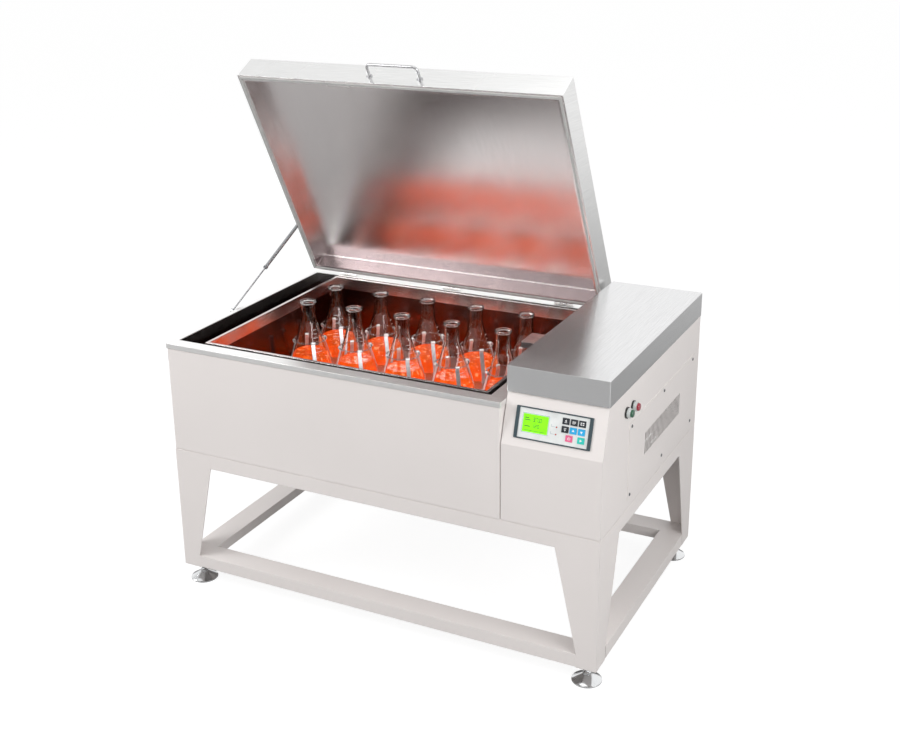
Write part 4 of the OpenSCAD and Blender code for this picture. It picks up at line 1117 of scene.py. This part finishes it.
    def film_lines(self, x: float, s: float) -> list[np.ndarray]:
        """Draws the lines beside the lamps and the frame round the display.

        Args:
            x: The display's left edge.
            s: Its lower edge.

        Returns:
            The outlines.
        """
        r = self.rectangle
        line, inner, outer = 0.35, 0.8, 1.6
        lamp_x, *lamp_rows = self.lamps_at
        lamp_x += self.bezel_x
        right, top = x + self.display_size[0], s + self.display_size[1]
        lines = []
        for up in lamp_rows:
            level = self.bezel_s + up
            lines.append(r(lamp_x - 14, level - line, lamp_x - 4, level + line))
            lines.append(r(lamp_x - 14, level - line, lamp_x - 13.3, level + 6))
        return lines + [
            r(x - outer, s - outer, right + outer, s - inner),
            r(x - outer, top + inner, right + outer, top + outer),
            r(x - outer, s - inner, x - inner, top + inner),
            r(right + inner, s - inner, right + outer, top + inner),
        ]

    def add_pieces(self, shop: Workshop) -> None:
        """Lays the print on the display, the keys and the film."""
        x, s = self.bezel_x + self.display_at[0], self.bezel_s + self.display_at[1]
        verts, faces = self.plates(self.display_print(x, s), self.display_top + self.print_lift)
        dark, white = shop.material("print_dark"), shop.material("print_white")
        make_piece("display_numerals", verts, faces, dark, "cabinet", False)
        for i, (centre, symbol) in enumerate(zip(self.key_centres(), self.symbols()), 1):
            moved = [outline + np.array(centre) for outline in symbol]
            verts, faces = self.plates(moved, self.key_top + self.print_lift)
            body = f"key_{i}_cap"
            make_piece(f"key_{i}_symbol", verts, faces, white, body, False)
        verts, faces = self.plates(self.film_lines(x, s), self.film_top + self.print_lift)
        grey = shop.material("print_grey")
        make_piece("film_print", verts, faces, grey, "cabinet", False)
        log.info("control panel has its numerals, %d key symbols and printed lines", i)


@dataclass
class Glassware(SubAssembly):
    """The conical flasks with their liquid, scales and clamp springs, on the platform."""

    finishes = {"plate": ("platform",), "clamp": ("flask_clamps",)}
    columns: int = 5
    rows: int = 2
    first_x: float = 168.0
    last_y: float = 640.0
    pitch: float = 164.0
    base_z: float = 543.3
    ring_z: float = 638.5
    ring_radius: float = 48.76
    coils: int = 150
    coil_radius: float = 1.6
    coil_wire: float = 0.45
    cone_z: tuple[float, float] = (14.0, 164.0)
    cone_radius: tuple[float, float] = (65.4, 21.4)

    def centres(self) -> np.ndarray:
        """Finds the flasks.

        Returns:
            Each flask's middle at its base.
        """
        x = self.first_x + self.pitch * np.arange(self.columns)
        y = self.last_y - self.pitch * np.arange(self.rows)
        gx, gy = np.meshgrid(x, y, indexing="ij")
        return np.stack([gx.ravel(), gy.ravel(), np.full(gx.size, self.base_z)], -1)

    @staticmethod
    def glass_profile() -> np.ndarray:
        """Returns the wall's closed section: heel, cone, shoulder, neck and beaded mouth."""
        return rounded_profile([
            (0, 1.6, 0), (40, 1.6, 12), (50, 0, 4), (65.0, 0, 7), (65.4, 14, 6), (21.4, 164, 13),
            (21, 212, 2), (25, 214.6, 1.2), (25, 219.8, 2), (18.9, 219.8, 1), (18.9, 163, 12),
            (62.7, 15, 6), (62.2, 3.2, 5), (50, 3.2, 3), (40, 4.6, 6), (0, 4.6, 0),
        ])

    @staticmethod
    def liquid_profile() -> np.ndarray:
        """Returns the liquid's section, with the surface drawn up at the glass."""
        return rounded_profile([
            (0, 4.5, 0), (40, 4.5, 6), (50, 3.1, 3), (62.3, 3.1, 5), (62.8, 15, 6),
            (50.4, 57.0, 0.4), (49.0, 55.6, 1.2), (44, 55.4, 1), (0, 55.4, 0),
        ])

    def scale_marks(self) -> Surface:
        """Lays short marks on the cones: patches at r = cone radius + lift over a few degrees.

        Returns:
            Vertices and quads.
        """
        heights = np.array([66.0, 76.0, 108.0, 120.0, 132.0])
        widths = np.array([26.0, 14.0, 26.0, 14.0, 26.0])
        turns = np.radians(-62.0 + 37.0 * np.arange(self.columns * self.rows) % 75.0)
        lift, thick, steps = 0.12, 1.0, 7
        (z0, z1), (r0, r1) = self.cone_z, self.cone_radius
        t = np.linspace(-0.5, 0.5, steps)
        verts, faces, first = [], [], 0
        for centre, turn in zip(self.centres(), turns):
            for level, width in zip(heights, widths):
                edge = np.array([level, level + thick])
                radius = r0 - (edge - z0) * (r0 - r1) / (z1 - z0) + lift
                angle = turn + np.radians(width) * t
                x = radius[:, None] * np.cos(angle)
                y = radius[:, None] * np.sin(angle)
                z = np.repeat(edge[:, None], steps, 1)
                verts.append(centre + np.stack([x, y, z], -1).reshape(-1, 3))
                faces.append(grid_faces(2, steps, first=first))
                first += 2 * steps
        return np.concatenate(verts), np.concatenate(faces)

    def springs(self) -> Surface:
        """Winds a coil round each clamp's ring: a small circle that turns as it goes round.

        The path is ring centre + (R + c cos b) outward + c sin b up, with b = coils times a.

        Returns:
            Vertices and quads.
        """
        steps_per_coil, sides = 8, 4
        a = np.linspace(0, 2 * np.pi, self.coils * steps_per_coil + 1)
        b = self.coils * a
        flat = np.stack([np.cos(a), np.sin(a), np.zeros_like(a)], -1)
        up = np.array([0, 0, 1.0])
        outward = np.cos(b)[:, None] * flat + np.sin(b)[:, None] * up
        path = self.ring_radius * flat + self.coil_radius * outward
        centres = self.centres() * np.array([1, 1, 0]) + np.array([0, 0, self.ring_z])
        return copied(*wound_tube(path, outward, self.coil_wire, sides), centres)

    def add_pieces(self, shop: Workshop) -> None:
        """Makes the glass, the liquid, the scale marks and the springs' coils."""
        body = "shaking_platform"
        verts, faces = turned(self.glass_profile(), self.centres(), 72)
        clear = shop.material("glass")
        glass = make_piece("flask_glass", verts, faces, clear, body)
        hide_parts("flasks")
        verts, faces = turned(self.liquid_profile(), self.centres(), 64)
        orange = shop.material("liquid")
        liquid = make_piece("flask_liquid", verts, faces, orange, body)
        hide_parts("flask_contents")
        verts, faces = self.scale_marks()
        white = shop.material("print_white")
        make_piece("flask_scales", verts, faces, white, body, False)
        verts, faces = self.springs()
        wire = shop.material("spring")
        coils = make_piece("clamp_coils", verts, faces, wire, body)
        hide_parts("clamp_springs")
        log.info("%d flasks stand on the platform", self.columns * self.rows)


class Lid(SubAssembly):
    """The lid with its pan, hinges, handle and gas strut."""

    finishes = {
        "shell_steel": ("lid_shell", "hinge_moving_leaves"),
        "pan_steel": ("lid_liner",),
        "silicone": ("lid_gasket",),
        "handle": ("lid_handle",),
        "turned": ("strut_rod",),
        "zinc": ("lid_stud",),
        "tube_silver": ("strut_tube",),
    }


class Drive(SubAssembly):
    """Motor, belt, cranks, fan and heater, which show through slots and from inside."""

    finishes = {
        "machine_grey": ("drive_base", "drive_motor", "fan_motor"),
        "turned": ("motor_pulley", "idler_crank_left", "idler_crank_right"),
        "cast": ("main_crank",),
        "rubber": ("drive_belt",),
        "black": ("fan_wheel",),
        "heater": ("heater_coil",),
    }


@dataclass(frozen=True)
class CameraFit:
    """The camera worked out from the photograph's perspective."""

    focal_px: float = 1290.4
    place_mm: Triple = (2242.4, -2692.0, 1971.3)
    yaw: float = -0.4781
    pitch: float = -0.3368
    roll: float = -0.0147
    centre_px: tuple[float, float] = (433.7, 332.8)
    clip_end: float = 300.0

    def build(self) -> None:
        """Makes the camera and gives it to the scene."""
        width, height = IMAGE_SIZE
        data = bpy.data.cameras.new("photo_camera")
        data.sensor_width = SENSOR_WIDTH
        data.lens = self.focal_px * SENSOR_WIDTH / width
        data.shift_x = (width / 2 - self.centre_px[0]) / width
        data.shift_y = (self.centre_px[1] - height / 2) / width
        data.clip_end = self.clip_end
        forward = np.array([
            math.cos(self.pitch) * math.sin(self.yaw),
            math.cos(self.pitch) * math.cos(self.yaw),
            math.sin(self.pitch),
        ])
        right = np.array([math.cos(self.yaw), -math.sin(self.yaw), 0.0])
        up = np.cross(right, forward)
        turned_right = math.cos(self.roll) * right + math.sin(self.roll) * up
        turned_up = -math.sin(self.roll) * right + math.cos(self.roll) * up
        matrix = np.eye(4)
        matrix[:3, 0] = turned_right
        matrix[:3, 1] = turned_up
        matrix[:3, 2] = -forward
        matrix[:3, 3] = place(np.array(self.place_mm))
        camera = bpy.data.objects.new("photo_camera", data)
        camera.matrix_world = Matrix(matrix.tolist())
        bpy.context.scene.collection.objects.link(camera)
        bpy.context.scene.camera = camera


@dataclass
class Studio:
    """Pale floor, white surround and soft lamps."""

    floor_half: float = 90.0
    key_power: float = 98.0
    fill_power: float = 54.0
    top_power: float = 16.0
    strip_power: float = 3.5
    ambient: float = 0.48

    def floor(self) -> None:
        """Lays a plain floor: white with a faint shadow to the camera, and duller as a light.

        In mirrors it is dim near the object and bright far off, as a paper sweep is.
        """
        dull, white, glow_strength, glow_share = 0.42, 0.86, 1.2, 0.74
        sweep_from, sweep_to, sweep_strength, sink = 2.2, 8.0, 0.85, 0.0005
        s = Shader("studio_floor")
        path = s.add("ShaderNodeLightPath")
        to_camera, in_mirror = path.outputs["Is Camera Ray"], path.outputs["Is Glossy Ray"]
        diffuse = s.add("ShaderNodeBsdfDiffuse")
        s.join(s.ramp(to_camera, (0.0, 1.0), (dull, white)), diffuse.inputs["Color"])
        glow = s.add("ShaderNodeEmission")
        glow.inputs["Strength"].default_value = glow_strength
        share = s.math("MULTIPLY", to_camera, glow_share)
        reach = s.add("ShaderNodeVectorMath", operation="LENGTH")
        s.join(s.coords, reach.inputs[0])
        far = s.ramp(reach.outputs["Value"], (sweep_from, sweep_to), (0.0, sweep_strength))
        sweep = s.add("ShaderNodeEmission")
        s.join(s.math("MULTIPLY", in_mirror, far), sweep.inputs["Strength"])
        both = s.add("ShaderNodeAddShader")
        s.join(s.mixed(share, diffuse.outputs[0], glow.outputs[0]), both.inputs[0])
        s.join(sweep.outputs[0], both.inputs[1])
        s.join(both.outputs[0], s.output.inputs["Surface"])
        h = self.floor_half
        corners = [(-h, -h, -sink), (h, -h, -sink), (h, h, -sink), (-h, h, -sink)]
        mesh = bpy.data.meshes.new("studio_floor")
        mesh.from_pydata(corners, [], [(0, 1, 2, 3)])
        mesh.materials.append(s.material)
        floor = bpy.data.objects.new("studio_floor", mesh)
        bpy.context.scene.collection.objects.link(floor)

    def world(self) -> None:
        """Sets the surround: white to the camera, plain as a light, and in mirrors a room.

        The mirrored room is bright behind the object and overhead, and dim in front of it, so that
        steel faces take the tones they have in the photograph.
        """
        front, behind, through_glass, to_camera = 0.36, 1.08, 0.8, 1.0
        world = bpy.data.worlds.new("studio_surround")
        bpy.context.scene.world = world
        world.use_nodes = True
        t = NodeTree(world.node_tree)
        out = t.add("ShaderNodeOutputWorld")
        back = t.add("ShaderNodeBackground")
        path = t.add("ShaderNodeLightPath")
        facing = t.add("ShaderNodeTexCoord").outputs["Generated"]
        depth = t.ramp(t.axis(facing, "Y"), (-0.5, 0.5), (front, behind), "SMOOTHSTEP")
        height = t.ramp(t.axis(facing, "Z"), (0.35, 0.95), (0.0, behind), "SMOOTHSTEP")
        room = t.math("MAXIMUM", depth, height)
        level = t.pick(path.outputs["Is Glossy Ray"], self.ambient, room)
        level = t.pick(path.outputs["Is Transmission Ray"], level, through_glass)
        level = t.pick(path.outputs["Is Camera Ray"], level, to_camera)
        back.inputs["Color"].default_value = (1, 1, 1, 1)
        t.join(level, back.inputs["Strength"])
        t.join(back.outputs[0], out.inputs[0])

    @staticmethod
    def lamp(
        name: str, spot: Triple, aim: Triple, size: float, power: float,
        height: float | None = None,
    ) -> None:
        """Hangs one soft lamp, square or as a strip.

        Args:
            name: The lamp's name.
            spot: Its place in metres.
            aim: The point it faces.
            size: Its width in metres.
            power: Its watts.
            height: Its height in metres, the same as its width if left out.
        """
        data = bpy.data.lights.new(name, "AREA")
        data.shape = "RECTANGLE"
        data.size = size
        data.size_y = size if height is None else height
        data.energy = power
        lamp = bpy.data.objects.new(name, data)
        turn = (Vector(spot) - Vector(aim)).to_track_quat("Z", "Y").to_matrix().to_4x4()
        lamp.matrix_world = Matrix.Translation(spot) @ turn
        bpy.context.scene.collection.objects.link(lamp)

    def build(self) -> None:
        """Builds the whole studio."""
        bpy.context.scene.view_settings.view_transform = "Standard"
        self.floor()
        self.world()
        middle, flasks = (0.6, 0.4, 0.5), (0.45, 0.52, 0.7)
        strips = [(-0.9, -1.7, 2.3), (0.5, -2.4, 2.0), (1.9, -1.5, 2.6), (-1.6, 0.2, 2.2)]
        strip_width, strip_height = 0.10, 1.2
        self.lamp("key_lamp", (-2.4, -2.3, 3.0), middle, 2.2, self.key_power)
        self.lamp("fill_lamp", (3.7, -0.9, 1.8), middle, 2.0, self.fill_power)
        self.lamp("top_lamp", (0.8, 0.2, 3.6), middle, 2.4, self.top_power)
        for i, spot in enumerate(strips, 1):
            self.lamp(f"strip_lamp_{i}", spot, flasks, strip_width, self.strip_power, strip_height)


def main() -> None:
    """Builds the studio and every sub-assembly in order."""
    logging.basicConfig(level=logging.INFO, format="%(name)s: %(message)s")
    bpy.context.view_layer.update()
    CameraFit().build()
    Studio().build()
    shop = Workshop()
    for part in (Stand(), Cabinet(), ControlPanel(), Glassware(), Lid(), Drive()):
        part.build(shop)
        log.info("%s is done", type(part).__name__)
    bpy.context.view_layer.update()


if __name__ == "__main__":
    main()
